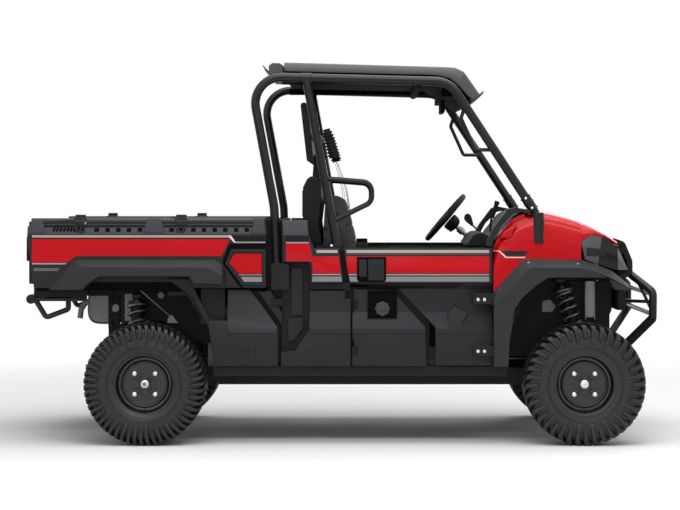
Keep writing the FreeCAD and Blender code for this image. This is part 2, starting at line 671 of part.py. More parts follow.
# Roll cage: on each side a long bent tube, the pillar behind the seat, the arm guard and the grab handle
pillar_cover_top = s.cowl_z - s.plate
cage_foot_z = s.band_bottom + s.rail_width * 1.7
tube_y = -post_y
side_places = [
    (s.bed_front_x + s.plate * 1.8, tube_y, cage_foot_z),
    (s.cage_rear_x, tube_y, s.cage_top),
    (roof_front_x - s.post_radius * 7.64, tube_y, s.cage_top - s.post_radius * 1.2),
    (cage_front_x + s.post_radius * 0.5, tube_y, pillar_cover_top),
]
side_tube = bent_tube(side_places, s.post_radius, s.cage_bend)
pillar_foot_x = s.door_rear_x - s.post_radius * 1.5
pillar_top_x = pillar_foot_x - s.post_radius * 6.9
pillar = rod((pillar_top_x, tube_y, s.cage_top - s.plate * 0.5), (pillar_foot_x, tube_y, s.door_top + s.plate), s.post_radius * 0.95)
pillar_foot = block((pillar_foot_x - s.post_radius * 1.6, tube_y - s.post_radius * 1.4, s.door_top),
                    (pillar_foot_x + s.post_radius * 0.9, tube_y + s.post_radius * 1.4, s.door_top + s.post_radius))
guard_front_x = pillar_foot_x + s.post_radius * 8.4
guard_places = [(pillar_foot_x - s.post_radius * 2.6, tube_y, s.door_top + s.post_radius * 15.6),
                (guard_front_x, tube_y, s.door_top + s.post_radius * 14.7),
                (guard_front_x, tube_y, s.door_top + s.post_radius * 10.17),
                (pillar_foot_x - s.post_radius * 1.2, tube_y, s.door_top + s.post_radius * 6.2)]
guard = bent_tube(guard_places, s.brace_radius, s.brace_radius * 4)
post_foot = block((cage_beam_x, tube_y - s.post_radius, s.tower_top),
                  (cage_beam_x + s.post_radius * 4, tube_y + s.post_radius, s.band_bottom + s.rail_width * 1.7))
grab_y = tube_y + s.post_radius * 1.6
grab_places = [(roof_front_x - s.post_radius * 4.2, tube_y, s.cage_top - s.post_radius * 6.65),
               (roof_front_x - s.post_radius * 5, grab_y, s.cage_top - s.post_radius * 9.1),
               (roof_front_x - s.post_radius * 1.8, grab_y, s.cage_top - s.post_radius * 16.2),
               (roof_front_x + s.post_radius * 1.4, grab_y, s.cage_top - s.post_radius * 16.2),
               (roof_front_x + s.post_radius * 2.1, tube_y, s.cage_top - s.post_radius * 16.45)]
grab = bent_tube(grab_places, s.brace_radius * 0.8, s.brace_radius * 1.2)
cover = block((cage_front_x, -side_y - s.body_gap, s.door_top + s.post_radius),
              (cage_front_x + s.post_radius * 2.4, tube_y + s.post_radius, pillar_cover_top))
node("pillar_covers", pair(cover))
cage_right = node("cage_right", cut(fuse(side_tube, pillar, pillar_foot, guard, grab, post_foot), cover))
node("cage_left", mirrored(cage_right))

# Roof: a tray with a steep front lip, and the two bars that it sits on
roof_shares = [(0.0, 1.0), (0.805, 0.83), (0.86, 0.71), (0.90, 0.43), (0.96, 0.06), (1.0, 0.14), (1.0, 0.06), (0.955, -0.04),
               (0.90, -0.05), (0.745, 0.63), (0.0, 0.71), (-0.075, 0.74), (-0.106, 0.91), (-0.092, 0.95), (-0.03, 0.90)]
roof_low = roof_top - s.rail_width * 3.1
roof_outline = framed(roof_shares, s.roof_rear_x, roof_front_x, roof_low, roof_top)
roof_side = slab(roof_outline, roof_half * 2, both=True)
crown = slab([(-roof_half, zero), (roof_half, zero), (roof_half, roof_top - s.skin * 1.1), (roof_half - s.skin * 2, roof_top),
              (-roof_half + s.skin * 2, roof_top), (-roof_half, roof_top - s.skin * 1.1)],
             s.wheelbase * 2, start=-s.wheelbase, role="YZ_Plane")
node("roof", common(roof_side, crown))
bars = []
bar_radius = s.post_radius * 0.9
for share in (0.1, 0.68):
    under_share = 0.71 - 0.08 * share / 0.745
    bar_x = s.roof_rear_x + (roof_front_x - s.roof_rear_x) * share
    bar_z = roof_low + (roof_top - roof_low) * under_share - bar_radius - s.seat_gap
    bar_y = post_y - s.post_radius - s.seat_gap
    bars.append(rod((bar_x, -bar_y, bar_z), (bar_x, bar_y, bar_z), bar_radius))
node("cage_crossbars", group(*bars))

# Seat: cushion on the base, back against the padded panel that stands on the bulkhead
cushion_front_x = seat_base_front_x + s.skin
cushion_shares = [(0.0, 0.0), (0.95, 0.0), (1.0, 0.35), (0.97, 0.86), (0.88, 1.0), (0.30, 0.80), (0.0, 0.86)]
node("seat_cushion", slab(framed(cushion_shares, bulkhead_x + s.plate * 4, cushion_front_x, s.seat_base_z,
                                 s.seat_base_z + s.seat_pad), seat_half * 2, both=True))
back_low = s.seat_base_z + s.seat_pad
back_foot_x = bulkhead_x + s.plate * 17
back_head_x = bulkhead_x + s.plate * 4
seat_back_points = [(bulkhead_x, back_low), (back_foot_x, back_low), (back_foot_x, back_low + s.seat_pad),
                    (back_head_x + s.plate * 2, s.back_top), (back_head_x - s.plate * 2.5, s.back_top),
                    (bulkhead_x, bulkhead_top)]
node("seat_back", slab(seat_back_points, seat_half * 2, both=True))
panel_shares = [(0.0, 0.0), (0.95, 0.0), (0.5, 0.436), (0.5, 0.652), (0.075, 0.987), (-1.125, 1.0), (-1.825, 0.944),
                (-1.825, 0.537), (-0.725, 0.334)]
head_panel = slab(framed(panel_shares, s.seat_base_rear_x, bulkhead_x, bulkhead_top, s.back_top + s.rail_width * 1.35),
                  seat_half * 1.8, both=True)
node("rear_panel", head_panel)

# Dash, column and levers
dash_shares = [(0.05, 0.0), (0.25, -0.60), (0.656, -0.60), (0.656, 0.0), (1.0, 0.0), (1.0, 0.955), (0.80, 1.0), (0.57, 0.86), (0.30, 0.54),
               (0.045, 0.21)]
dash = node("dash", slab(framed(dash_shares, door_front_x + s.door_gap, cowl_x - s.bonnet_gap * 0.5, s.door_top, s.cowl_z),
                         fixed_inner_y * 2, both=True))
rake = Rotation(Vector(0, 1, 0), -s.wheel_rake.number)
wheel_place = (wheel_x, s.wheel_y, s.wheel_z)


def raked(item):
    """Sets a piece made about +Z on the steering axis."""
    move(item, wheel_place)
    item.Placement = Placement(item.Placement.Base, rake)
    return item


def post(radius, low, high):
    """A round bar up the Z axis."""
    bar = document.addObject("Part::Cylinder", "post")
    bind(bar, Radius=radius, Height=as_length(high) - low)
    move(bar, (zero, zero, low))
    return bar


hub_low = s.wheel_grip * 1.6
shaft_reach = s.wheel_radius * 0.45
column_body = cut(post(s.column_radius, -s.wheel_radius * 2.2, -hub_low - s.body_gap),
                  post(s.wheel_grip * 0.7 + s.running_gap, -shaft_reach - s.seat_gap, zero))
column = cut(raked(column_body), dash)
node("steering_column", column)
rim_ring = document.addObject("Part::Torus", "ring")
bind(rim_ring, Radius1=s.wheel_radius, Radius2=s.wheel_grip)
spokes = []
for turn in (90, 210, 330):
    spoke = block((zero, -s.wheel_grip, -s.wheel_grip * 0.5), (s.wheel_radius, s.wheel_grip, s.wheel_grip * 0.3))
    holder = document.addObject("Part::Compound", "spoke")
    holder.Links = [spoke]
    holder.Placement = Placement(Vector(0, 0, 0), Rotation(Vector(0, 0, 1), turn))
    spokes.append(holder)
hub = post(s.wheel_grip * 3, -hub_low, s.wheel_grip * 0.8)
shaft = post(s.wheel_grip * 0.7, -shaft_reach, zero)
node("steering_wheel", raked(fuse(rim_ring, hub, shaft, *spokes)))

knob_x = wheel_x + s.wheel_radius * 0.94
knob = document.addObject("Part::Sphere", "knob")
bind(knob, Radius=s.column_radius * 1.1)
move(knob, (knob_x, zero, s.wheel_z - s.plate * 0.2))
dash_face_x = door_front_x + s.plate * 4
gear_lever = cut(fuse(knob, rod((knob_x, zero, s.wheel_z), (dash_face_x + s.plate * 2, zero, s.door_top + s.plate * 4), s.arm_radius * 0.6)), dash)
brake_lever = cut(fuse(rod((dash_face_x + s.plate * 2, s.column_radius * 5, s.door_top + s.plate * 7), (dash_face_x + s.plate * 3, s.column_radius * 5, s.wheel_z + s.plate * 9),
                           s.arm_radius * 0.7),
                       rod((dash_face_x + s.plate * 3, s.column_radius * 3.4, s.wheel_z + s.plate * 9), (dash_face_x + s.plate * 3, s.column_radius * 6.6, s.wheel_z + s.plate * 9),
                           s.arm_radius * 0.9)), dash)
pedals = []
for share in (0.2, -0.2):
    pedal_y = s.wheel_y + s.wheel_radius * 2 * share
    pad_x = toe_x + s.column_radius
    pivot_x, pivot_z = firewall_x - s.floor_wall - s.seat_gap, s.waist_bottom + s.column_radius * 2
    pedals.append(fuse(block((pivot_x - s.column_radius, pedal_y - s.column_radius, pivot_z - s.column_radius),
                             (pivot_x, pedal_y + s.column_radius, pivot_z + s.column_radius)),
                       rod((pivot_x - s.arm_radius, pedal_y, pivot_z),
                           (pad_x, pedal_y, s.panel_step - s.column_radius * 2), s.arm_radius * 0.7),
                       block((pad_x - s.arm_radius, pedal_y - s.column_radius, s.panel_step - s.column_radius * 4),
                             (pad_x, pedal_y + s.column_radius, s.panel_step - s.column_radius))))
node("levers", group(gear_lever, brake_lever, *pedals))

# Front body: one outer form, hollow beneath, that bonnet, wings and headlamps are cut from
form_shares = [(0.0, -0.95), (0.0, 0.0), (0.012, 0.21), (0.077, 0.54), (0.147, 0.86), (0.205, 1.0), (0.262, 0.96), (0.311, 1.08),
               (0.474, 0.97), (0.617, 0.78), (0.758, 0.49), (0.865, 0.21), (0.915, 0.13), (0.972, -0.22), (1.0, -0.73),
               (0.985, -1.02), (0.971, -1.03), (0.854, -0.65), (0.736, -0.46), (0.636, -0.335), (0.231, -0.30), (0.202, -0.37)]
form_side_points = framed(form_shares, door_front_x + s.door_gap, nose_x, s.door_top, s.cowl_z)
form_side = slab(form_side_points, side_y * 2, both=True)
shoulder = s.skin * 5.4
plan = [(door_front_x, -side_y), (lamp_rear_x + s.skin * 2, -side_y), (lamp_rear_x + s.skin * 6, -side_y + s.skin * 1.2),
        (nose_x, -nose_half), (nose_x, nose_half), (lamp_rear_x + s.skin * 6, side_y - s.skin * 1.2),
        (lamp_rear_x + s.skin * 2, side_y), (door_front_x, side_y)]
form_plan = slab(plan, s.cowl_z * 2, role="XY_Plane")
shoulder_low = s.door_top + s.skin * 3
section = [(-side_y, s.panel_bottom), (side_y, s.panel_bottom), (side_y, shoulder_low), (side_y - shoulder, s.bonnet_top),
           (-side_y + shoulder, s.bonnet_top), (-side_y, shoulder_low)]
form_section = slab(section, s.wheelbase * 2, start=-s.wheelbase * 0.5, role="YZ_Plane")
form = common(common(form_side, form_plan), form_section)
hollow_shares = [(-0.1, -1.3), (-0.1, 0.50), (0.262, 0.76), (0.32, 0.89), (0.470, 0.78), (0.610, 0.59), (0.745, 0.30), (0.85, 0.04),
                 (0.885, -0.02), (0.935, -0.24), (0.955, -0.78), (0.955, -1.3)]
hollow = slab(framed(hollow_shares, door_front_x + s.door_gap, nose_x, s.door_top, s.cowl_z), fixed_inner_y * 2, both=True)
shell = cut(form, hollow)
bonnet_zone = block((cowl_x, -bonnet_half, s.grille_top), (nose_x + s.skin, bonnet_half, s.bonnet_top + s.skin))
node("bonnet", common(shell, bonnet_zone))
wing_wall = block((door_front_x, -side_y, s.panel_bottom), (nose_x, -fixed_inner_y, s.bonnet_top))
wing_top = block((cowl_x, -side_y, s.panel_bottom), (nose_x + s.skin, -bonnet_half - s.bonnet_gap, s.bonnet_top))
lamp_zone = block((lamp_rear_x, -side_y - s.skin, s.lamp_bottom), (nose_x + s.skin, -bonnet_half - s.bonnet_gap, s.lamp_top))
grille_face_x = grille_back_x + s.grille_wall
grille = block((grille_back_x, -bonnet_half, s.grille_bottom), (grille_face_x, bonnet_half, s.grille_top))
slots = []
slot_pitch = s.skin * 1.5
for row in range(1, 7):
    slot_low = s.grille_bottom + s.skin + slot_pitch * row
    slots.append(block((grille_back_x - s.plate, -bonnet_half + s.skin * 2, slot_low),
                       (grille_face_x + s.plate, bonnet_half - s.skin * 2, slot_low + s.skin * 0.8)))
node("grille", cut(grille, group(*slots)))

# Front flares: the arch round the wheel and the leg down to the sill, with the fixed halves of the door hinges
arch_shares = [(-1.138, 1.237), (-1.025, 1.403), (-0.794, 1.612), (-0.582, 1.748), (0.422, 1.742), (0.502, 1.551), (0.717, 1.529),
               (0.757, 1.612), (0.486, 1.843), (0.212, 1.957), (-0.018, 2.031), (-0.957, 2.052), (-1.025, 2.009), (-1.29, 1.70)]
arch = slab(framed(arch_shares, axle_front_x, axle_front_x + s.tyre_radius, s.tyre_radius, s.tyre_radius * 2),
            flare_y - fixed_inner_y, start=fixed_inner_y)
leg_rear_x = door_front_x + s.door_gap
leg = slab([(leg_rear_x, s.panel_bottom), (sill_front_x + s.plate, s.panel_bottom), (sill_front_x + s.skin, s.panel_step),
            (toe_x + s.rail_width * 1.55, s.waist_bottom), (axle_front_x - s.tyre_radius * 0.794, s.waist_top),
            (axle_front_x - s.tyre_radius * 1.025, s.flare_top - s.plate), (leg_rear_x, s.flare_top - s.rail_width * 3)],
           side_y - fixed_inner_y, start=fixed_inner_y)
arch_leg = fuse(arch, leg)
wing = cut(cut(cut(common(shell, fuse(wing_wall, wing_top)), lamp_zone), cover), arch_leg)
wing_right = node("wing_right", wing)
node("wing_left", mirrored(wing_right))
lens_recess = block((lamp_rear_x + s.skin, -side_y - s.skin, s.lamp_top - s.skin * 3.25),
                    (lamp_rear_x + s.skin * 4.1, -side_y + s.skin, s.lamp_top - s.skin * 1.75))
node("headlamps", pair(cut(cut(common(form, lamp_zone), arch), lens_recess)))
hinge_x = door_front_x + s.door_gap * 0.5
hinge_y = -side_y - s.hinge_stand


def hinge_leaf(middle_z, skin_y, forward):
    """Barrel and leaf of a door hinge: the door's half lies above the wing's, which has the pin."""
    side = 1 if forward else -1
    low = middle_z - s.hinge_barrel if forward else middle_z + s.seat_gap
    high = middle_z if forward else middle_z + s.hinge_barrel
    barrel = document.addObject("Part::Cylinder", "barrel")
    bind(barrel, Radius=s.hinge_radius, Height=high - low)
    move(barrel, (hinge_x, hinge_y, low))
    near_x, far_x = hinge_x, hinge_x + s.hinge_radius * 7 * side
    if not forward:
        near_x, far_x = far_x, near_x
    leaf = block((near_x, hinge_y + s.hinge_radius * 0.2, low), (far_x, -skin_y, high))
    pin = document.addObject("Part::Cylinder", "pin")
    play = zero if forward else s.running_gap
    bind(pin, Radius=s.hinge_pin_radius + play, Height=s.hinge_barrel * 2)
    move(pin, (hinge_x, hinge_y, middle_z - s.hinge_barrel))
    if forward:
        return fuse(barrel, leaf, pin)
    return cut(fuse(barrel, leaf), pin)


flare = fuse(arch_leg, hinge_leaf(s.hinge_low_z, side_y, True), hinge_leaf(s.hinge_high_z, side_waist_y, True))
node("front_flares", pair(flare))

# Side panels: every one is its own outline cut from the waisted section that they share
section_points = [(-side_y, s.panel_bottom), (-side_y, s.panel_step), (-side_waist_y, s.waist_bottom), (-side_waist_y, s.waist_top),
                  (-side_y, s.band_bottom), (-side_y, s.bed_top)]


def section_slab(inner_y, rear_x, front_x):
    """The waisted section of the body side, drawn along X."""
    corners = [(-inner_y, s.bed_top), (-inner_y, s.panel_bottom)] + section_points
    return slab(corners, front_x - rear_x, start=rear_x, role="YZ_Plane")


fixed_section = section_slab(fixed_inner_y, s.axle_rear_x, door_front_x)
door_section = section_slab(side_inner_y, s.door_rear_x - s.skin, door_front_x)


def side_panel(points, section_body, inner_y):
    """A panel of the body side from its outline."""
    return common(slab(points, flare_y - inner_y, start=inner_y), section_body)


side_y_skin = post_y + s.post_radius + s.seat_gap
quarter_shares = [(0.018, 1.0), (0.398, 1.0), (0.450, 0.643), (0.502, 0.556), (0.921, 0.556), (1.003, 0.0), (0.459, 0.0), (0.429, 0.327),
                  (0.018, 0.327)]
quarter_points = framed(quarter_shares, s.bed_front_x, s.door_rear_x, s.band_bottom, s.bed_top)
quarter_strut = block((s.seat_base_rear_x, -side_waist_y, s.waist_top - s.skin), (s.door_rear_x - s.skin, -fixed_inner_y, s.band_bottom + s.skin))
post_pocket = block((s.bed_front_x - s.skin, -side_y_skin, s.band_bottom), (s.bed_front_x + s.skin * 1.6, -fixed_inner_y, s.bed_top))
quarter = cut(side_panel(quarter_points, fixed_section, fixed_inner_y), post_pocket)
node("quarter_panels", pair(fuse(quarter, quarter_strut)))

seat_side_shares = [(0.114, 0.935), (0.539, 0.91), (0.898, 0.479), (0.910, 0.0), (0.092, 0.0)]
seat_side = side_panel(framed(seat_side_shares, s.door_rear_x, door_foot_x, s.panel_bottom, s.waist_top), fixed_section, fixed_inner_y)
rear_lower_shares = [(0.453, 0.92), (1.0, 0.92), (1.0, 0.836), (1.10, 0.836), (1.10, 0.0), (-0.012, 0.0), (-0.012, 0.184), (0.213, 0.196),
                     (0.441, 0.461)]
rear_lower = side_panel(framed(rear_lower_shares, s.bed_front_x, s.door_rear_x, s.panel_bottom, s.waist_top), fixed_section, fixed_inner_y)
apron_shares = [(0.603, 0.92), (0.766, 0.92), (0.965, 0.484), (0.965, 0.0), (0.505, 0.0), (0.475, 0.50), (0.598, 0.52)]
apron = side_panel(framed(apron_shares, s.axle_rear_x, s.bed_front_x, s.panel_bottom, s.waist_top), fixed_section, fixed_inner_y)
lowers = [seat_side, rear_lower, apron]
node("lower_panels", group(*lowers, *[mirrored(panel) for panel in lowers]))
fuel_x = s.door_rear_x + (door_foot_x - s.door_rear_x) * 0.416
fuel_cap = rod((fuel_x, -side_waist_y, s.waist_bottom), (fuel_x, -side_y, s.waist_bottom), s.skin)
node("fuel_cap", cut(fuel_cap, seat_side))
guard_shares = [(0.161, 0.93), (0.34, 0.93), (0.475, 0.56), (0.592, 0.55), (0.592, 0.40), (0.49, 0.40), (0.30, 0.88), (0.161, 0.88)]
rear_guard = slab(framed(guard_shares, s.axle_rear_x, s.bed_front_x, s.panel_bottom, s.waist_top),
                  s.tyre_rear_width * 1.15, start=fixed_inner_y - s.tyre_rear_width * 1.15)
liner_shares = [(-1.025, 1.403), (-0.794, 1.612), (-0.582, 1.748), (0.422, 1.742), (0.60, 1.60), (0.64, 1.63), (0.44, 1.79),
                (-0.60, 1.79), (-0.83, 1.65), (-1.04, 1.46)]
liner_in_y = fixed_inner_y - s.tyre_front_width * 0.9
front_liner = slab(framed(liner_shares, axle_front_x, axle_front_x + s.tyre_radius, s.tyre_radius, s.tyre_radius * 2),
                   fixed_inner_y - liner_in_y, start=liner_in_y)
node("mudguards", group(rear_guard, mirrored(rear_guard), front_liner, mirrored(front_liner)))

# Doors: outline and section as the panels, with the hinge halves on their front edge
door_low = s.panel_bottom + s.body_gap
door_points = [(s.door_rear_x, s.door_top), (door_front_x, s.door_top), (door_front_x, door_low), (door_foot_x, door_low),
               (door_foot_x, s.panel_step + s.plate), (s.door_rear_x + s.rail_width * 4.8, s.waist_top - s.plate),
               (s.door_rear_x + s.rail_width * 0.62, s.waist_top + s.plate)]
door_panel = side_panel(door_points, door_section, side_inner_y)
pull = block((s.door_rear_x + s.rail_width * 1.3, -side_y - s.plate, s.band_bottom + s.plate * 4),
             (s.door_rear_x + s.rail_width * 3.7, -side_y + s.plate, s.band_bottom + s.plate * 14))
door = fuse(cut(door_panel, pull), hinge_leaf(s.hinge_low_z, side_y, False),
            hinge_leaf(s.hinge_high_z, side_waist_y, False))
door_right = node("door_right", door)
node("door_left", mirrored(door_right))

# Bed: floor and front wall, thick sides, steel rails on top, flares, tailgate and the rear bar
bed_floor_top = s.bed_floor_z + s.bed_floor_wall
tailgate_x = s.bed_rear_x + s.tailgate_wall * 0.5
tailgate_z = bed_floor_top + s.tailgate_wall * 0.5 - s.plate * 0.2
floor_rear_x = tailgate_x + s.tailgate_wall * 0.71 + s.body_gap
bed_floor = block((floor_rear_x, -bed_inner_y, s.bed_floor_z), (s.bed_front_x, bed_inner_y, bed_floor_top))
bed_front = block((s.bed_front_x - s.bed_wall, -bed_inner_y - s.bed_wall, s.bed_floor_z), (s.bed_front_x, bed_inner_y + s.bed_wall, s.bed_top))
bed_return = block((s.bed_skin_x, -bed_inner_y - s.bed_wall, s.bed_floor_z), (s.bed_front_x, -bed_inner_y, s.bed_top))
lug_y = rail_out + s.plate
lug = cut(fuse(block((s.bed_pivot_x - s.bed_pivot_radius * 2, -lug_y - s.bed_wall, s.bed_pivot_z + s.bed_pivot_radius),
                     (s.bed_pivot_x + s.bed_pivot_radius * 2, -lug_y, s.bed_floor_z)),
               rod((s.bed_pivot_x, -lug_y - s.bed_wall, s.bed_pivot_z + s.bed_pivot_radius), (s.bed_pivot_x, -lug_y, s.bed_pivot_z + s.bed_pivot_radius), s.bed_pivot_radius * 2)),
          rod((s.bed_pivot_x, -lug_y - s.rail_width, s.bed_pivot_z + s.bed_pivot_radius), (s.bed_pivot_x, -rail_out, s.bed_pivot_z + s.bed_pivot_radius),
              s.bed_pivot_radius + s.running_gap))
node("bed_tub", fuse(bed_floor, bed_front, bed_return, mirrored(bed_return), lug, mirrored(lug)))
side_low = s.bed_floor_z
arch_rear_x = s.axle_rear_x - s.tyre_radius * 0.742
arch_front_x = s.axle_rear_x + s.tyre_radius * 0.726
arch_top = s.tyre_radius * 2.766
bed_side_points = [(s.bed_rear_x, s.bed_top), (s.bed_skin_x, s.bed_top), (s.bed_skin_x, side_low), (arch_front_x + s.plate * 2.5, side_low),
                   (arch_front_x, arch_top), (arch_rear_x, arch_top), (arch_rear_x - s.rail_width, s.band_bottom),
                   (arch_rear_x - s.rail_width * 1.6, side_low), (s.bed_rear_x + s.plate * 4.4, side_low), (s.bed_rear_x, s.door_top + s.plate * 4)]
bed_side = slab(bed_side_points, side_y - bed_inner_y, start=bed_inner_y)
pin_hole = rod((tailgate_x, -side_y, tailgate_z), (tailgate_x, -bed_inner_y + s.plate, tailgate_z), s.tailgate_pin_radius + s.running_gap)
cheek = block((s.bed_rear_x, -bed_inner_y - s.bed_wall, bed_floor_top - s.plate), (s.bed_rear_x + s.rail_width * 1.5, -bed_inner_y, s.bed_top))
node("bed_sides", pair(cut(fuse(bed_side, cheek), pin_hole)))
node("bed_rails", pair(block((s.bed_rear_x, -side_y, s.bed_top), (s.bed_skin_x, -bed_inner_y, s.bed_top + s.bed_rail_height))))
rear_flare_shares = [(-1.609, 1.529), (-1.182, 2.052), (1.142, 2.052), (1.280, 1.966), (1.280, 1.625), (0.803, 1.640), (0.726, 1.766),
                     (-0.742, 1.766), (-0.917, 1.665), (-1.055, 1.529)]
node("rear_flares", pair(slab(framed(rear_flare_shares, s.axle_rear_x, s.axle_rear_x + s.tyre_radius, s.tyre_radius, s.tyre_radius * 2),
                              flare_y - side_y, start=side_y)))
gate_half = bed_inner_y - s.body_gap
gate_points = [(s.bed_rear_x, tailgate_z), (tailgate_x - s.tailgate_wall * 0.25, tailgate_z - s.tailgate_wall * 0.45), (tailgate_x + s.tailgate_wall * 0.25, tailgate_z - s.tailgate_wall * 0.45),
               (s.bed_rear_x + s.tailgate_wall, tailgate_z), (s.bed_rear_x + s.tailgate_wall, s.bed_top - s.plate), (s.bed_rear_x, s.bed_top - s.plate)]
gate = slab(gate_points, gate_half * 2, both=True)
gate_pin = rod((tailgate_x, -gate_half, tailgate_z), (tailgate_x, -gate_half - s.bed_wall, tailgate_z), s.tailgate_pin_radius)
node("tailgate", fuse(gate, gate_pin, mirrored(gate_pin)))
bar_y = bed_inner_y - s.plate * 2
rear_tube = rod((s.rear_bar_x, -bed_inner_y, s.rear_bar_z), (s.rear_bar_x, bed_inner_y, s.rear_bar_z), s.rear_bar_radius)
bar_front_x = s.axle_rear_x - s.tyre_radius
bar_arms = []
for side in (-1, 1):
    bar_arms.append(rod((s.rear_bar_x, bar_y * side, s.rear_bar_z), (bar_front_x, bar_y * side, s.rear_bar_z), s.bed_pivot_radius))
    bar_arms.append(bent_tube([(s.rear_bar_x + s.plate * 2, bar_y * side, s.rear_bar_z), (s.rear_bar_x + s.plate * 8, bar_y * side, s.rear_bar_z - s.plate * 10),
                               (s.rear_bar_x + s.plate * 20, bar_y * side, s.rear_bar_z - s.plate * 5.5), (s.rear_bar_x + s.plate * 20, bar_y * side, s.rear_bar_z)],
                              s.bed_pivot_radius, s.bed_pivot_radius * 1.5))
    for share in (0.15, 0.9):
        stay_x = s.rear_bar_x + (bar_front_x - s.rear_bar_x) * share
        y_low, y_high = bar_y * side - s.plate, bar_y * side + s.plate
        bar_arms.append(block((stay_x, y_low, s.rear_bar_z), (stay_x + s.plate * 3, y_high, s.bed_floor_z)))
node("rear_bar", fuse(rear_tube, *bar_arms))

# Front bumper and the receiver at the back
bumper_y = nose_half * 1.04
bumper_low, bumper_high = s.waist_bottom - s.plate * 4.4, s.tower_top + s.plate * 3
bumper_leg_x = frame_front_x - s.bumper_radius * 1.25
nose_mount = (grille_face_x + s.seat_gap, bonnet_half * 0.92, s.front_tower_top + s.plate * 6)
brace_shares = (0.4, 0.6)
bumper = []
for side in (-1, 1):
    places = [(bumper_leg_x, rail_y * side, rail_top), (bumper_leg_x, rail_y * side, rail_top + s.plate * 7.5),
              (bumper_x, bumper_y * side, bumper_low), (bumper_x, bumper_y * side, bumper_high),
              (nose_mount[0], nose_mount[1] * side, nose_mount[2])]
    bumper.append(bent_tube(places, s.bumper_radius, s.bumper_radius * 2, s.bumper_radius * 2.5, s.bumper_radius * 2.5))
    near, far = brace_shares
    brace_head = (bumper_x * near + nose_mount[0] * far, (bumper_y * near + nose_mount[1] * far) * side,
                  bumper_high * near + nose_mount[2] * far)
    bumper.append(rod((bumper_x, bumper_y * side, bumper_low + s.plate * 2), brace_head, s.bumper_radius * 0.55))
    stay_z = (bumper_low + bumper_high) * 0.51
    bumper.append(rod((bumper_x, bumper_y * side, stay_z), (grille_face_x - s.plate, bonnet_half * 0.92 * side, stay_z),
                      s.bumper_radius * 0.6))
for share in (0.1, 0.9):
    bar_z = bumper_low + (bumper_high - bumper_low) * share
    bumper.append(rod((bumper_x, -bumper_y, bar_z), (bumper_x, bumper_y, bar_z), s.bumper_radius * 0.85))
node("front_bumper", cut(fuse(*bumper), grille))
hitch_beam = block((s.frame_rear_x - s.beam_height, -rail_out, s.rail_bottom), (s.frame_rear_x, rail_out, rail_top))
hitch_z = s.rail_bottom + s.rail_height * 0.5
receiver_rear_x = s.frame_rear_x - s.rail_width * 1.75
receiver_front_x = s.frame_rear_x + s.beam_height
pin_x = receiver_rear_x + s.rail_width * 0.58
receiver = block((receiver_rear_x, -s.hitch_half, hitch_z - s.hitch_half), (receiver_front_x, s.hitch_half, hitch_z + s.hitch_half))
receiver_bore = block((receiver_rear_x - s.plate, -s.hitch_bore_half, hitch_z - s.hitch_bore_half),
                      (receiver_front_x, s.hitch_bore_half, hitch_z + s.hitch_bore_half))
hitch_pin = rod((pin_x, -s.hitch_half * 2, hitch_z), (pin_x, s.hitch_half * 2, hitch_z), s.hitch_pin_radius)
node("tow_hitch", cut(cut(fuse(hitch_beam, receiver), receiver_bore), hitch_pin))

# Checks and files
document.recompute()
for item in document.Objects:
    if {"Invalid", "Error"} & set(item.State):
        raise RuntimeError(f"{item.Name} ({item.Label}) failed: {item.State}")
os.makedirs("parts", exist_ok=True)
for name, item in nodes.items():
    shape = item.Shape
    if shape.isNull() or not shape.isValid() or not shape.Solids:
        raise RuntimeError(f"{name} has no sound shape")
    shape.exportStep(f"parts/{name}.step")
print(len(nodes), "nodes")
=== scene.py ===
"""Dresses the side by side utility vehicle: finishes, livery, tyres, springs, upholstery and trim.

Lengths are metres in the frame's own axes: +X forward, +Y to the vehicle's left and +Z up.
"""

from __future__ import annotations

import logging
import math
from dataclasses import dataclass
from enum import Enum
from typing import Any, Callable, Sequence

import bmesh
import bpy
import numpy as np
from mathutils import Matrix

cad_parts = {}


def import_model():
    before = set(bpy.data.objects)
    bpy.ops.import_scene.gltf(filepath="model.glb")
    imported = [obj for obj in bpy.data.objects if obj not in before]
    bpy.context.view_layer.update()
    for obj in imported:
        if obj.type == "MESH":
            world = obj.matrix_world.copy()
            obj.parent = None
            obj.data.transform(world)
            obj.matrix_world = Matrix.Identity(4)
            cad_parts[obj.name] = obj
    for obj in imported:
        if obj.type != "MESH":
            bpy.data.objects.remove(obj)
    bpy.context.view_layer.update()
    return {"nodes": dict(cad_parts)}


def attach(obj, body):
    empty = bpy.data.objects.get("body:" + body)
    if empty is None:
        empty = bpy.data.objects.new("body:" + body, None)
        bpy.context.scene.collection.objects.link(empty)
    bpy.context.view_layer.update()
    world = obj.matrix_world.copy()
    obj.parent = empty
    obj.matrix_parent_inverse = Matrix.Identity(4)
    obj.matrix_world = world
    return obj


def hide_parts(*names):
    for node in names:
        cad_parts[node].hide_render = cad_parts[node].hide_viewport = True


LOG = logging.getLogger("side_by_side")
Colour = tuple[float, float, float]
Outline = Sequence[tuple[float, float]]
Places = tuple[tuple[float, float], ...]
Point = tuple[float, float, float]


class Side(Enum):
    """The vehicle's two sides, as the sign of Y."""

    RIGHT = -1
    LEFT = 1

    @property
    def word(self) -> str:
        """The side's name in a piece's name."""
        return self.name.lower()


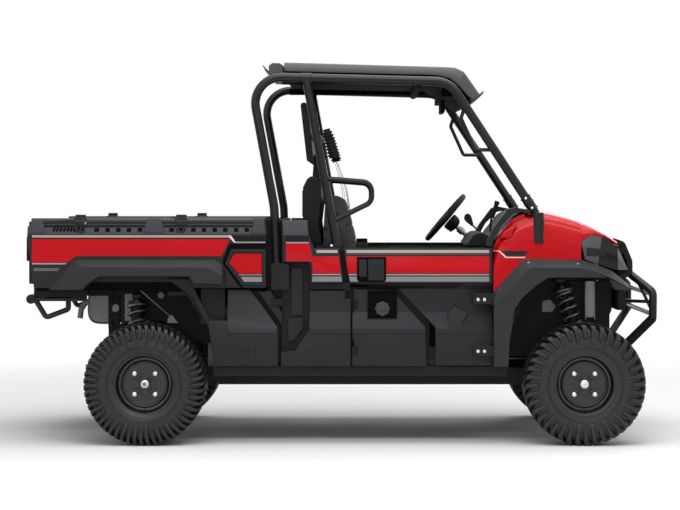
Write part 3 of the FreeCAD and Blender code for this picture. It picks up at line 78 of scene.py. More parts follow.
class Signal:
    """A socket of a material's graph, with arithmetic that adds Math nodes."""

    def __init__(self, graph: "Graph", socket: bpy.types.NodeSocket) -> None:
        """Wraps a socket.

        Args:
            graph: the material's graph.
            socket: an output socket in it.
        """
        self.graph = graph
        self.socket = socket

    def __add__(self, other: Any) -> "Signal":
        """Sum."""
        return self.graph.math("ADD", self, other)

    def __radd__(self, other: Any) -> "Signal":
        """Sum with the number first."""
        return self.graph.math("ADD", other, self)

    def __sub__(self, other: Any) -> "Signal":
        """Difference."""
        return self.graph.math("SUBTRACT", self, other)

    def __rsub__(self, other: Any) -> "Signal":
        """Difference with the number first."""
        return self.graph.math("SUBTRACT", other, self)

    def __mul__(self, other: Any) -> "Signal":
        """Product."""
        return self.graph.math("MULTIPLY", self, other)

    def __gt__(self, other: Any) -> "Signal":
        """1 where this is more than the other."""
        return self.graph.math("GREATER_THAN", self, other)

    def __abs__(self) -> "Signal":
        """Size without its sign."""
        return self.graph.math("ABSOLUTE", self)


class Graph:
    """A material's node graph, built by expressions."""

    def __init__(self, name: str) -> None:
        """Starts an empty material that reads Object coordinates.

        Args:
            name: the material's name.
        """
        self.material = bpy.data.materials.new(name)
        self.material.use_nodes = True
        self.tree = self.material.node_tree
        self.tree.nodes.clear()
        self.place = self.node("ShaderNodeTexCoord", output="Object")
        self.x, self.y, self.z = (
            self.node("ShaderNodeSeparateXYZ", inputs={"Vector": self.place}, output=axis) for axis in "XYZ"
        )

    def node(
        self,
        kind: str,
        settings: dict[str, Any] | None = None,
        inputs: dict[str | int, Any] | None = None,
        output: str | int = 0,
    ) -> Signal:
        """Adds any node.

        Args:
            kind: the node's type.
            settings: its own settings, set first.
            inputs: values or links of its sockets, by name or number.
            output: the socket to give back.

        Returns:
            The output as a signal.
        """
        made = self.tree.nodes.new(kind)
        for key, value in (settings or {}).items():
            setattr(made, key, value)
        for key, value in (inputs or {}).items():
            socket = made.inputs[key]
            if isinstance(value, Signal):
                self.tree.links.new(value.socket, socket)
            elif isinstance(value, tuple) and len(value) == 3 and socket.type == "RGBA":
                socket.default_value = (*value, 1.0)
            else:
                socket.default_value = value
        return Signal(self, made.outputs[output])

    def math(self, operation: str, *values: Any) -> Signal:
        """Adds a Math node.

        Args:
            operation: the Math node's operation.
            values: signals or numbers.

        Returns:
            The result.
        """
        return self.node("ShaderNodeMath", {"operation": operation}, dict(enumerate(values)))

    def mix(self, share: Any, low: Any, high: Any) -> Signal:
        """Blends two colours.

        Args:
            share: 0 gives low and 1 gives high.
            low: a colour or a signal.
            high: a colour or a signal.

        Returns:
            The blended colour.
        """
        return self.node("ShaderNodeMix", {"data_type": "RGBA"}, {0: share, 6: low, 7: high}, output=2)

    def noise(self, scale: float, detail: float) -> Signal:
        """Smooth noise from 0 to 1 over the piece, with so many features to the metre and octaves."""
        return self.node("ShaderNodeTexNoise", inputs={
            "Vector": self.place, "Scale": scale, "Detail": detail})

    def inside(self, outline: Outline) -> Signal:
        """1 inside a convex outline in the XZ plane: the product of one half-plane test for each edge.

        Args:
            outline: corners (x, z) in order, either way round.

        Returns:
            The mask.
        """
        corners = np.asarray(outline, float)
        way = np.sign(signed_area(corners))
        mask: Any = 1.0
        for (x0, z0), (x1, z1) in zip(corners, np.roll(corners, -1, axis=0)):
            across, up = (x1 - x0) * way, (z1 - z0) * way
            test = (self.z * float(across) - self.x * float(up)) > float(z0 * across - x0 * up)
            mask = test if isinstance(mask, float) else mask * test
        return mask

    def bump(self, height: Signal, depth: float, strength: float, normal: Signal) -> Signal:
        """A bumped normal.

        Args:
            height: the relief, 0 to 1.
            depth: its depth in metres.
            strength: how much of it shows.
            normal: the normal beneath.

        Returns:
            The normal.
        """
        return self.node("ShaderNodeBump", inputs={
            "Height": height, "Distance": depth, "Strength": strength, "Normal": normal})

    def finish(self, **sockets: Any) -> bpy.types.Material:
        """Adds the surface shader and its output.

        Args:
            sockets: the shader's sockets, an underscore standing for a space.

        Returns:
            The material.
        """
        inputs = {name.replace("_", " "): value for name, value in sockets.items()}
        self.node_output(self.node("ShaderNodeBsdfPrincipled", inputs=inputs))
        return self.material

    def node_output(self, shader: Signal) -> None:
        """Links a shader to the material's output."""
        made = self.tree.nodes.new("ShaderNodeOutputMaterial")
        self.tree.links.new(shader.socket, made.inputs["Surface"])


def signed_area(outline: np.ndarray) -> float:
    """Twice the area inside an outline (n, 2), negative where it runs clockwise."""
    after = np.roll(outline, -1, axis=0)
    return float(np.sum(outline[:, 0] * after[:, 1] - outline[:, 1] * after[:, 0]))


@dataclass(frozen=True)
class Band:
    """One painted field of the livery, a convex outline (x, z) in metres with its paint."""

    outline: Places
    colour: Colour
    gloss: float = 0.0


def level_band(x0: float, z0: float, x1: float, z1: float, colour: Colour, gloss: float) -> Band:
    """A band with level and upright edges, from one corner (x0, z0) to the other (x1, z1)."""
    return Band(((x0, z0), (x1, z0), (x1, z1), (x0, z1)), colour, gloss)


@dataclass(frozen=True)
class Finish:
    """A surface finish: base colour with drift, grain, worn edges and an optional livery."""

    name: str
    colour: Colour
    roughness: float = 0.5
    metallic: float = 0.0
    coat: float = 0.0
    drift: float = 0.12
    grain_scale: float = 900.0
    grain_depth: float = 0.0002
    grain_strength: float = 0.25
    flake: float = 0.0
    dust: float = 0.0
    bands: tuple[Band, ...] = ()
    shine: float = 0.18

    def material(self) -> bpy.types.Material:
        """The material, made once."""
        known = bpy.data.materials.get(self.name)
        if known:
            return known
        graph = Graph(self.name)
        patches = graph.noise(3.5, 4.0)
        fine = graph.noise(60.0, 2.0)
        base: Any = self.colour
        gloss: Any = 0.0
        outward = abs(graph.y) > LIVERY_FROM
        for band in self.bands:
            mask = graph.inside(band.outline) * outward
            base = graph.mix(mask, base, band.colour)
            shone = mask * band.gloss
            gloss = shone + gloss * (1.0 - mask) if isinstance(gloss, Signal) else shone
        shade = 1.0 - self.drift * 0.5 + patches * self.drift
        base = graph.node("ShaderNodeVectorMath", {"operation": "SCALE"}, {0: base, "Scale": shade})
        if self.dust:
            low = graph.node("ShaderNodeMapRange",
                             inputs={"Value": graph.z, "From Min": 0.75, "From Max": 0.25})
            base = graph.mix(low * fine * self.dust, base, (0.16, 0.14, 0.12))
        rough: Any = self.roughness + (fine - 0.5) * 0.14
        if isinstance(gloss, Signal):
            rough = rough * (1.0 - gloss) + gloss * 0.22
        if self.flake:
            sparkle = graph.node(
                "ShaderNodeTexVoronoi", inputs={"Vector": graph.place, "Scale": 1400.0}, output="Color")
            flaked = graph.node("ShaderNodeMix", {"data_type": "RGBA", "blend_type": "MULTIPLY"},
                                {0: 1.0, 6: base, 7: sparkle}, output=2)
            base = graph.mix(self.flake, base, flaked)
        edge = graph.node("ShaderNodeBevel", {"samples": 4}, {"Radius": WORN_EDGE})
        normal = graph.bump(graph.noise(self.grain_scale, 2.0), self.grain_depth, self.grain_strength, edge)
        coat: Any = self.coat if not isinstance(gloss, Signal) else gloss * 0.12 + self.coat
        return graph.finish(Base_Color=base, Roughness=rough, Metallic=self.metallic, Coat_Weight=coat,
                            Coat_Roughness=0.06, Specular_IOR_Level=self.shine, Normal=normal)


LIVERY_FROM = 0.7
WORN_EDGE = 0.0015
MERGE = 0.00002
HARD_EDGE = math.radians(32.0)

RED: Colour = (0.56, 0.0035, 0.009)
SILVER: Colour = (0.26, 0.26, 0.27)
PALE: Colour = (0.42, 0.4, 0.38)
DARK: Colour = (0.007, 0.007, 0.008)
WHITE: Colour = (0.72, 0.72, 0.72)
STEEL_GREY: Colour = (0.13, 0.13, 0.14)
GREY: Colour = (0.022, 0.023, 0.026)
BROWN: Colour = (0.1, 0.045, 0.045)
# A lighter grey for the waist's slope: painted sheen of the light from above.
PAINTED_SLOPE_SHEEN: Colour = (0.036, 0.038, 0.042)


def moulded(name: str, colour: Colour = GREY, **more: Any) -> Finish:
    """A dull moulded plastic."""
    return Finish(name, colour, roughness=0.42, shine=0.15, **more)


def painted(name: str, **more: Any) -> Finish:
    """The body's red paint."""
    return Finish(name, RED, roughness=0.26, coat=0.25, grain_scale=300.0, grain_strength=0.03, drift=0.05,
                  flake=0.1, shine=0.1, **more)


PLASTIC = moulded("moulded_plastic", dust=0.05)
DARK_PLASTIC = Finish("dark_plastic", (0.011, 0.011, 0.012), roughness=0.58, dust=0.12)
GLOSS_RED = painted("red_paint")
SATIN_BLACK = Finish("satin_black_steel", (0.0075, 0.0077, 0.0085), roughness=0.31, coat=0.2,
                     grain_scale=700.0, grain_strength=0.08, shine=0.24)
ROOF_PLASTIC = Finish("roof_plastic", (0.028, 0.0296, 0.0327), roughness=0.46)
CAP_GREY = moulded("cap_grey", (0.06, 0.062, 0.068))
FACET_GREY = moulded("facet_grey", (0.031, 0.033, 0.036))
# A lighter copy of the grey plastic: painted light on the bed's ledge and the quarter's top, which face
# upwards.
PAINTED_LIT_GREY = moulded("ledge_grey", (0.066, 0.07, 0.078))
HOUSING = Finish("lamp_housing", (0.085, 0.088, 0.096), roughness=0.3, shine=0.15, coat=0.2, bands=(
    Band(((1.388, 1.13), (1.6, 1.13), (1.6, 0.9), (1.352, 0.9)), DARK, 1.0),
))
# Near-black: the lining's own black made darker as painted shade, and painted shade in pockets, holes,
# grooves and on the cross tubes under the roof.
BLACK_PAINTED_SHADE = Finish("lining_black", (0.004, 0.004, 0.004), roughness=0.8, shine=0.05, grain_strength=0.0)
CHASSIS_BLACK = Finish("chassis_black", (0.008, 0.008, 0.0085), roughness=0.5, dust=0.15)
CAST = Finish("cast_alloy", (0.3, 0.3, 0.31), roughness=0.5, metallic=0.8, grain_scale=260.0,
              grain_strength=0.5, grain_depth=0.0006)
DULL_STEEL = Finish("dull_steel", (0.26, 0.26, 0.26), roughness=0.42, metallic=0.85, grain_scale=500.0)
BRIGHT_STEEL = Finish("bright_steel", (0.72, 0.72, 0.72), roughness=0.22, metallic=1.0, grain_scale=400.0,
                      grain_strength=0.08, drift=0.06)
RUBBER = Finish("tyre_rubber", (0.0062, 0.0062, 0.0065), roughness=0.46, grain_scale=420.0,
                grain_strength=0.2, drift=0.3, dust=0.05, shine=0.5)
WHEEL_BLACK = Finish("wheel_black", (0.006, 0.006, 0.0065), roughness=0.3, coat=0.5, grain_scale=300.0,
                     grain_strength=0.02, shine=0.4)
VINYL = Finish("seat_vinyl", (0.022, 0.022, 0.024), roughness=0.55, grain_scale=240.0, grain_strength=0.55,
               grain_depth=0.0007)
SPRING_BLACK = Finish("spring_black", (0.19, 0.19, 0.2), roughness=0.22, metallic=0.6, coat=0.5,
                      grain_scale=400.0, grain_strength=0.05)
SMOKED = Finish("smoked_lens", (0.008, 0.008, 0.009), roughness=0.08, coat=1.0, grain_strength=0.0)

TAILGATE_FACE = Finish("tailgate_paint", RED, roughness=0.24, coat=0.45, grain_scale=300.0,
                       grain_strength=0.03)
TAIL_RED = Finish("tail_lamp", (0.3, 0.004, 0.006), roughness=0.12, coat=0.9, grain_strength=0.0)
MUFFLER_GREY = Finish("muffler_coating", (0.2, 0.2, 0.2), roughness=0.45, metallic=0.6, dust=0.3)
WEBBING = Finish("belt_webbing", (0.016, 0.016, 0.017), roughness=0.8, grain_scale=900.0,
                 grain_strength=0.6)
GRIP = Finish("wheel_grip", (0.012, 0.012, 0.013), roughness=0.5, grain_scale=600.0, grain_strength=0.4)
BED_SIDE = moulded("bed_side_livery", bands=(
    Band(((-1.658, 1.1065), (-0.606, 1.1065), (-0.599, 1.1195), (-1.658, 1.1195)), PALE, 0.6),
    Band(((-1.658, 1.099), (-0.612, 1.099), (-0.606, 1.1065), (-1.658, 1.1065)), DARK, 0.3),
    Band(((-1.658, 0.973), (-1.47, 0.973), (-1.42, 1.01), (-1.42, 1.099), (-1.658, 1.099)), RED, 1.0),
    Band(((-1.421, 1.008), (-0.647, 1.008), (-0.602, 1.099), (-1.421, 1.099)), RED, 1.0),
    Band(((-1.658, 0.9635), (-1.48, 0.9635), (-1.472, 0.97), (-1.658, 0.97)), PALE, 0.4),
    Band(((-1.65, 0.928), (-1.523, 0.928), (-1.508, 0.944), (-1.65, 0.944)), STEEL_GREY, 0.3),
    Band(((-0.6115, 1.1135), (-0.598, 1.1195), (-0.566, 1.078), (-0.578, 1.078)), WHITE, 0.6),
    level_band(-0.578, 1.078, -0.414, 1.084, PALE, 0.4),
    Band(((-0.576, 1.0875), (-0.414, 1.0875), (-0.414, 1.1135), (-0.588, 1.1135)), DARK, 0.0),
    Band(((-0.61, 1.043), (-0.414, 1.043), (-0.414, 1.072), (-0.594, 1.072)), DARK, 0.0),
))
SILVER_TRIM = Finish("silver_trim", SILVER, roughness=0.35, shine=0.3, coat=0.2, grain_strength=0.05)
DOOR_SIDE = moulded("door_livery", bands=(
    level_band(0.02, 1.0245, 0.781, 1.0405, PALE, 0.4),
    level_band(0.02, 1.0135, 0.781, 1.0225, BROWN, 0.4),
    Band(((0.024, 0.9165), (0.781, 0.9165), (0.781, 1.006), (0.02, 1.006)), RED, 1.0),
    level_band(0.024, 0.9055, 0.781, 0.9115, PALE, 0.4),
    level_band(0.024, 0.8715, 0.781, 0.8985, SILVER, 0.5),
    # Painted shadow: a dark band under the upper band's overhanging lip.
    Band(((0.017, 0.864), (0.663, 0.864), (0.598, 0.834), (0.017, 0.834)), DARK, 0.0),
    # Painted sheen: the waist's slope lighter in a patch.
    Band(((0.35, 0.7075), (0.562, 0.7075), (0.562, 0.62), (0.47, 0.62)), PAINTED_SLOPE_SHEEN, 0.0),
    level_band(0.4, 0.59, 0.81, 0.594, DARK, 0.0),
))
QUARTER_SIDE = moulded("quarter_livery", bands=(
    Band(((-0.305, 1.085), (-0.183, 1.085), (-0.1865, 1.113), (-0.305, 1.113)), DARK, 0.3),
    Band(((-0.303, 1.0765), (-0.1795, 1.0765), (-0.182, 1.0825), (-0.303, 1.0825)), PALE, 0.4),
    Band(((-0.303, 1.075), (-0.1785, 1.075), (-0.1565, 0.98), (-0.303, 0.98)), RED, 1.0),
    Band(((-0.164, 1.004), (-0.0226, 1.007), (-0.01, 0.915), (-0.16, 0.915)), RED, 1.0),
    Band(((-0.14, 1.0245), (-0.0265, 1.0245), (-0.0285, 1.0405), (-0.14, 1.0405)), PALE, 0.4),
    Band(((-0.163, 0.906), (-0.009, 0.906), (-0.01, 0.9115), (-0.163, 0.9115)), PALE, 0.4),
    Band(((-0.163, 0.8715), (-0.004, 0.8715), (-0.007, 0.8985), (-0.163, 0.8985)), SILVER, 0.5),
))
LOWER_SIDE = moulded("lower_panel_plastic", dust=0.03, bands=(
    # Painted sheen: lighter patches on the waist's slope over the rear lower panel and the apron.
    Band(((-0.245, 0.7075), (0.45, 0.7075), (0.45, 0.62), (-0.19, 0.62)), PAINTED_SLOPE_SHEEN, 0.0),
    Band(((-0.616, 0.829), (-0.495, 0.829), (-0.352, 0.64), (-0.352, 0.6), (-0.612, 0.6)), PAINTED_SLOPE_SHEEN, 0.0),
    level_band(-0.62, 0.5905, 0.45, 0.5938, DARK, 0.0),
    level_band(-0.596, 0.507, -0.354, 0.5095, DARK, 0.0),
    Band(((-0.617, 0.661), (-0.6145, 0.661), (-0.595, 0.508), (-0.598, 0.508)), DARK, 0.0),
    level_band(0.055, 0.722, 0.081, 0.78, DARK, 0.0),
    level_band(0.055, 0.476, 0.081, 0.532, DARK, 0.0),
))
WING_PAINT = painted("wing_paint", bands=(
    Band(((0.844, 1.036), (0.994, 1.036), (0.972, 1.008), (0.876, 1.008)), GREY, 0.0),
    Band(((0.804, 1.0325), (0.83, 1.0325), (0.827, 1.0385), (0.804, 1.0385)), WHITE, 0.5),
    Band(((0.826, 1.0385), (0.835, 1.0385), (0.878, 1.0), (0.866, 1.0)), WHITE, 0.5),
    Band(((0.868, 0.9975), (0.97, 0.9975), (0.974, 1.0035), (0.868, 1.0035)), WHITE, 0.5),
    level_band(0.835, 1.0955, 0.892, 1.0985, DARK, 0.0),
))


class Shape:
    """The vertices and faces of one piece, gathered from surfaces worked out as arrays."""

    def __init__(self) -> None:
        """Starts an empty shape."""
        self.points: list[np.ndarray] = []
        self.faces: list[np.ndarray] = []
        self.count = 0

    def grid(self, surface: np.ndarray, around: bool = False, along: bool = False) -> "Shape":
        """Adds a grid of quads.

        Args:
            surface: points (m, n, 3).
            around: whether the second direction closes on itself.
            along: whether the first direction does.

        Returns:
            This shape.
        """
        rows, columns = surface.shape[:2]
        index = np.arange(rows * columns).reshape(rows, columns) + self.count
        if around:
            index = np.concatenate([index, index[:, :1]], axis=1)
        if along:
            index = np.concatenate([index, index[:1]], axis=0)
        quads = np.stack([index[:-1, :-1], index[:-1, 1:], index[1:, 1:], index[1:, :-1]], axis=-1)
        self.points.append(surface.reshape(-1, 3))
        self.faces.extend(quads.reshape(-1, 4).tolist())
        self.count += rows * columns
        return self

    def polygon(self, corners: np.ndarray) -> "Shape":
        """Adds one flat face with corners of its own (n, 3)."""
        self.points.append(np.asarray(corners, float))
        self.faces.append(list(range(self.count, self.count + len(corners))))
        self.count += len(corners)
        return self

    def prism(self, outline: Outline, low: float, high: float, axis: int = 1) -> "Shape":
        """Adds an outline carried straight along an axis, with both ends closed.

        Args:
            outline: corners (n, 2) in the other two axes, in order.
            low: where it starts along the axis.
            high: where it ends.
            axis: 0, 1 or 2 for X, Y or Z.

        Returns:
            This shape.
        """
        flat = np.asarray(outline, float)
        if (signed_area(flat) > 0) == (axis == 1):
            flat = flat[::-1]
        self.points.append(np.concatenate([np.insert(flat, axis, level, axis=1) for level in (low, high)]))
        count = len(flat)
        here = np.arange(count) + self.count
        after = np.roll(here, -1)
        self.faces.extend(np.stack([here, after, after + count, here + count], axis=1).tolist())
        self.faces.extend([here[::-1].tolist(), (here + count).tolist()])
        self.count += 2 * count
        return self

    def block(self, low: Sequence[float], high: Sequence[float]) -> "Shape":
        """Adds a box between two corners."""
        corners = [(low[0], low[2]), (high[0], low[2]), (high[0], high[2]), (low[0], high[2])]
        return self.prism(corners, low[1], high[1])

    def blocks(self, *corners: tuple[Point, Point]) -> "Shape":
        """Adds a box for every pair of corners."""
        for low, high in corners:
            self.block(low, high)
        return self

    def framed(self, outer: Outline, inner: Outline, low: float, high: float) -> "Shape":
        """Adds a frame between two outlines with as many corners, one prism for each edge."""
        for index in range(len(outer)):
            after = (index + 1) % len(outer)
            self.prism([outer[index], outer[after], inner[after], inner[index]], low, high)
        return self

    def sweep(self, profile: np.ndarray, path: np.ndarray) -> "Shape":
        """Carries a closed profile along an open path, turning it least from point to point.

        Args:
            profile: points (n, 2), across and up.
            path: points (m, 3).

        Returns:
            This shape.
        """
        ahead = np.gradient(path, axis=0)
        ahead /= np.linalg.norm(ahead, axis=1, keepdims=True)
        up = np.zeros_like(path)
        seed = np.array([0.0, 0.0, 1.0]) if abs(ahead[0, 2]) < 0.9 else np.array([0.0, 1.0, 0.0])
        for step in range(len(path)):
            seed = seed - ahead[step] * seed.dot(ahead[step])
            seed = seed / np.linalg.norm(seed)
            up[step] = seed
        across = np.cross(ahead, up)
        surface = path[:, None] + across[:, None] * profile[:, :1] + up[:, None] * profile[:, 1:]
        return self.grid(surface[:, ::-1], around=True).polygon(surface[0]).polygon(surface[-1][::-1])

    def tube(self, path: Sequence[Sequence[float]], radius: float, sides: int = 12) -> "Shape":
        """Adds a round tube along a path."""
        return self.sweep(np.stack([np.cos(turns(sides)), np.sin(turns(sides))], axis=1) * radius,
                          np.asarray(path, float))

    def turned(self, profile: Outline, centre: Sequence[float], steps: int = 48, axis: int = 1) -> "Shape":
        """Adds an outline turned about an axis through a place.

        Args:
            profile: points (along the axis, radius), a closed outline.
            centre: a place on the axis.
            steps: divisions round it.
            axis: 0, 1 or 2 for X, Y or Z.

        Returns:
            This shape.
        """
        line, turn = np.asarray(profile, float), turns(steps)[:, None]
        surface = np.zeros((steps, len(line), 3))
        first, second = (index for index in range(3) if index != axis)
        surface[:, :, axis] = line[:, 0]
        surface[:, :, first] = np.cos(turn) * line[:, 1]
        surface[:, :, second] = np.sin(turn) * line[:, 1]
        return self.grid(surface + np.asarray(centre, float), around=True, along=True)

    def raised(self, base: Outline, face: Outline, foot: float, top: float, back: float) -> "Shape":
        """Adds a form on the right side's skin: walls, a slope from the base outline and the flat face on it.

        Args:
            base: the outer outline (x, z).
            face: the face's outline, with a point for each of the base's.
            foot: how far out the slope starts.
            top: how far out the face lies.
            back: how far out the form's back lies.

        Returns:
            This shape.
        """
        outer, inner = np.asarray(base, float), np.asarray(face, float)
        if signed_area(outer) < 0:
            outer, inner = outer[::-1], inner[::-1]
        rings = [(outer, -back), (outer, -foot), (inner, -top)]
        surface = np.array([np.insert(ring, 1, level, axis=1) for ring, level in rings])
        return self.grid(surface[:, ::-1], around=True).polygon(surface[-1]).polygon(surface[0][::-1])

    def skin(
        self,
        outline: Outline,
        reach: Callable[[np.ndarray, np.ndarray], np.ndarray],
        levels: Sequence[float] = (),
        stations: Sequence[float] = (),
    ) -> "Shape":
        """Adds a right side panel: its outline is cut along the section's creases and laid on the section.

        Args:
            outline: corners (x, z).
            reach: how far out the surface lies at (x, z).
            levels: heights of the section's creases.
            stations: places of the plan's creases.

        Returns:
            This shape.
        """
        sheet = bmesh.new()
        corners = np.asarray(outline, float)
        if signed_area(corners) < 0:
            corners = corners[::-1]
        sheet.faces.new([sheet.verts.new((x, 0.0, z)) for x, z in corners])
        cuts = [((0.0, 0.0, level), (0.0, 0.0, 1.0)) for level in levels]
        cuts += [((station, 0.0, 0.0), (1.0, 0.0, 0.0)) for station in stations]
        for place, direction in cuts:
            parts = [*sheet.verts, *sheet.edges, *sheet.faces]
            bmesh.ops.bisect_plane(sheet, geom=parts, plane_co=place, plane_no=direction)
        sheet.verts.index_update()
        points = np.array([vertex.co[:] for vertex in sheet.verts])
        points[:, 1] = -reach(points[:, 0], points[:, 2])
        self.points.append(points)
        self.faces.extend([[vertex.index + self.count for vertex in face.verts] for face in sheet.faces])
        self.count += len(points)
        sheet.free()
        return self

    def moved(self, turn: np.ndarray, place: Sequence[float]) -> "Shape":
        """Turns every point by a rotation matrix and moves it by a place."""
        self.points = [points @ turn.T + np.asarray(place, float) for points in self.points]
        return self

    def bolts(
        self,
        places: Sequence[Sequence[float]],
        radius: float,
        shoulder: tuple[float, float],
        crown: tuple[float, float],
        depth: float = 0.003,
        steps: int = 12,
    ) -> "Shape":
        """Adds a domed bolt head at every place, pointing out of the right side.

        Args:
            places: the middles (x, y, z) of the heads' feet.
            radius: the head's radius at its foot.
            shoulder: how far out the shoulder lies and its radius.
            crown: how far out the flat crown lies and its radius.
            depth: how deep the head is sunk.
            steps: divisions round it.

        Returns:
            This shape.
        """
        head = [(0.0, radius), (-shoulder[0], shoulder[1]), (-crown[0], crown[1]), (-crown[0], 0.0004),
                (depth, 0.0004), (depth, radius)]
        for place in places:
            self.turned(head, place, steps)
        return self

    def mirrored(self) -> "Shape":
        """The same shape on the vehicle's other side, with its faces still pointing out."""
        twin = Shape()
        twin.points = [points * np.array([1.0, -1.0, 1.0]) for points in self.points]
        twin.faces = [list(face)[::-1] for face in self.faces]
        twin.count = self.count
        return twin

    def joined(self, other: "Shape") -> "Shape":
        """Adds another shape's surfaces."""
        self.points.extend(other.points)
        self.faces.extend([[index + self.count for index in face] for face in other.faces])
        self.count += other.count
        return self

    def build(
        self,
        name: str,
        finish: Finish,
        body: str,
        slot: str,
        replaces: Sequence[str] = (),
        bevel: float = 0.0,
        smooth: float = 35.0,
        thick: float = 0.0,
    ) -> bpy.types.Object:
        """Makes the object and gives it its finish and body.

        Args:
            name: the piece's name.
            finish: its finish.
            body: the body it rides on.
            slot: the record's material slot; not used.
            replaces: the CAD nodes it stands for.
            bevel: width of the rounded edges.
            smooth: edges sharper than this many degrees stay hard.
            thick: the wall that an open skin gets behind it.

        Returns:
            The object.
        """
        mesh = bpy.data.meshes.new(name)
        mesh.from_pydata(np.concatenate(self.points).tolist(), [], [list(face) for face in self.faces])
        mesh.validate()
        settle(mesh, closed=not thick)
        mesh.materials.append(finish.material())
        piece = bpy.data.objects.new(name, mesh)
        bpy.context.scene.collection.objects.link(piece)
        if thick:
            wall = piece.modifiers.new("wall", "SOLIDIFY")
            wall.thickness = thick
            wall.offset = -1.0
            wall.use_even_offset = True
        if bevel:
            rounded = piece.modifiers.new("bevel", "BEVEL")
            rounded.width = bevel
            rounded.segments = 2
            rounded.limit_method = "ANGLE"
            rounded.angle_limit = HARD_EDGE
        shade_by_angle(mesh, smooth)
        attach(piece, body)
        if replaces:
            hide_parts(*replaces)
        LOG.info("%s rides on %s", name, body)
        return piece


def settle(mesh: bpy.types.Mesh, closed: bool) -> None:
    """Merges a mesh's doubles and, where it is closed, turns its faces outwards."""
    work = bmesh.new()
    work.from_mesh(mesh)
    bmesh.ops.remove_doubles(work, verts=work.verts, dist=MERGE)
    if closed:
        bmesh.ops.recalc_face_normals(work, faces=work.faces)
    work.to_mesh(mesh)
    work.free()


def shade_by_angle(mesh: bpy.types.Mesh, degrees: float) -> None:
    """Shades a mesh smooth but for its edges sharper than an angle."""
    mesh.polygons.foreach_set("use_smooth", np.ones(len(mesh.polygons), bool))
    mesh.set_sharp_from_angle(angle=math.radians(degrees))


def points_of(mesh: bpy.types.Mesh) -> np.ndarray:
    """A mesh's vertices (n, 3)."""
    flat = np.empty(len(mesh.vertices) * 3)
    mesh.vertices.foreach_get("co", flat)
    return flat.reshape(-1, 3)


def turns(steps: int) -> np.ndarray:
    """Even angles once round a circle, in radians."""
    return np.linspace(0.0, 2.0 * np.pi, steps, endpoint=False)


def flat_bar(across: float, up: float) -> np.ndarray:
    """The rectangular profile of a bar, by its two half sizes."""
    return np.array([(-across, -up), (across, -up), (across, up), (-across, up)])


def dress(node: str, finish: Finish) -> None:
    """Gives a CAD node its finish."""
    piece = FRAME["nodes"][node]
    material = finish.material()
    if not piece.material_slots:
        piece.data.materials.append(material)
    for slot in piece.material_slots:
        slot.material = material


def bent(places: Sequence[Sequence[float]], bend: float, steps: int = 7) -> np.ndarray:
    """A path of straight runs whose corners are arcs of one radius.

    Args:
        places: the corners (x, y, z).
        bend: the arcs' radius.
        steps: points in each arc.

    Returns:
        Points (m, 3).
    """
    corners = [np.asarray(place, float) for place in places]
    path = [corners[0]]
    for before, corner, after in zip(corners, corners[1:], corners[2:]):
        back = (before - corner) / np.linalg.norm(before - corner)
        ahead = (after - corner) / np.linalg.norm(after - corner)
        half = np.arccos(np.clip(back.dot(ahead), -1.0, 1.0)) / 2.0
        middle = (back + ahead) / np.linalg.norm(back + ahead)
        centre = corner + middle * bend / np.sin(half)
        start = corner + back * bend / np.tan(half) - centre
        side = corner + ahead * bend / np.tan(half) - centre
        swing = np.pi - 2.0 * half
        turn = np.linspace(0.0, 1.0, steps)[:, None] * swing
        path.extend(centre + (start * np.sin(swing - turn) + side * np.sin(turn)) / np.sin(swing))
    path.append(corners[-1])
    return np.array(path)


def flowing(points: Outline, steps: int = 5) -> np.ndarray:
    """A smooth line through points of any dimension: a Catmull-Rom spline.

    Args:
        points: the points it passes.
        steps: points in each span.

    Returns:
        Points (m, n).
    """
    line = np.asarray(points, float)
    line = np.concatenate([line[:1] * 2 - line[1:2], line, line[-1:] * 2 - line[-2:-1]])
    share = np.linspace(0.0, 1.0, steps, endpoint=False)[:, None]
    spans = [
        0.5 * (2 * b + (c - a) * share + (2 * a - 5 * b + 4 * c - d) * share ** 2
               + (3 * b - a - 3 * c + d) * share ** 3)
        for a, b, c, d in zip(line, line[1:], line[2:], line[3:])
    ]
    return np.concatenate([*spans, line[-2:-1]])


def side_reach(_x: np.ndarray, z: np.ndarray) -> np.ndarray:
    """How far out the body side lies at a height: straight runs with a waist between them."""
    return np.interp(z, (0.416, 0.62, 0.708, 0.832, 0.864, 1.3), (0.745, 0.745, 0.712, 0.712, 0.745, 0.745))


def nose_reach(x: np.ndarray, _z: np.ndarray) -> np.ndarray:
    """How far out the front body lies at a station: it narrows in plan towards the nose."""
    return np.interp(x, (0.8, 1.336, 1.472, 1.557), (0.745, 0.745, 0.704, 0.52))


SIDE_CREASES = (0.62, 0.708, 0.832, 0.864)
HINGE_LEVELS = (0.501, 0.776)
HINGE_LINE = (0.8015, -0.762)
HINGE_BARREL = 0.0112


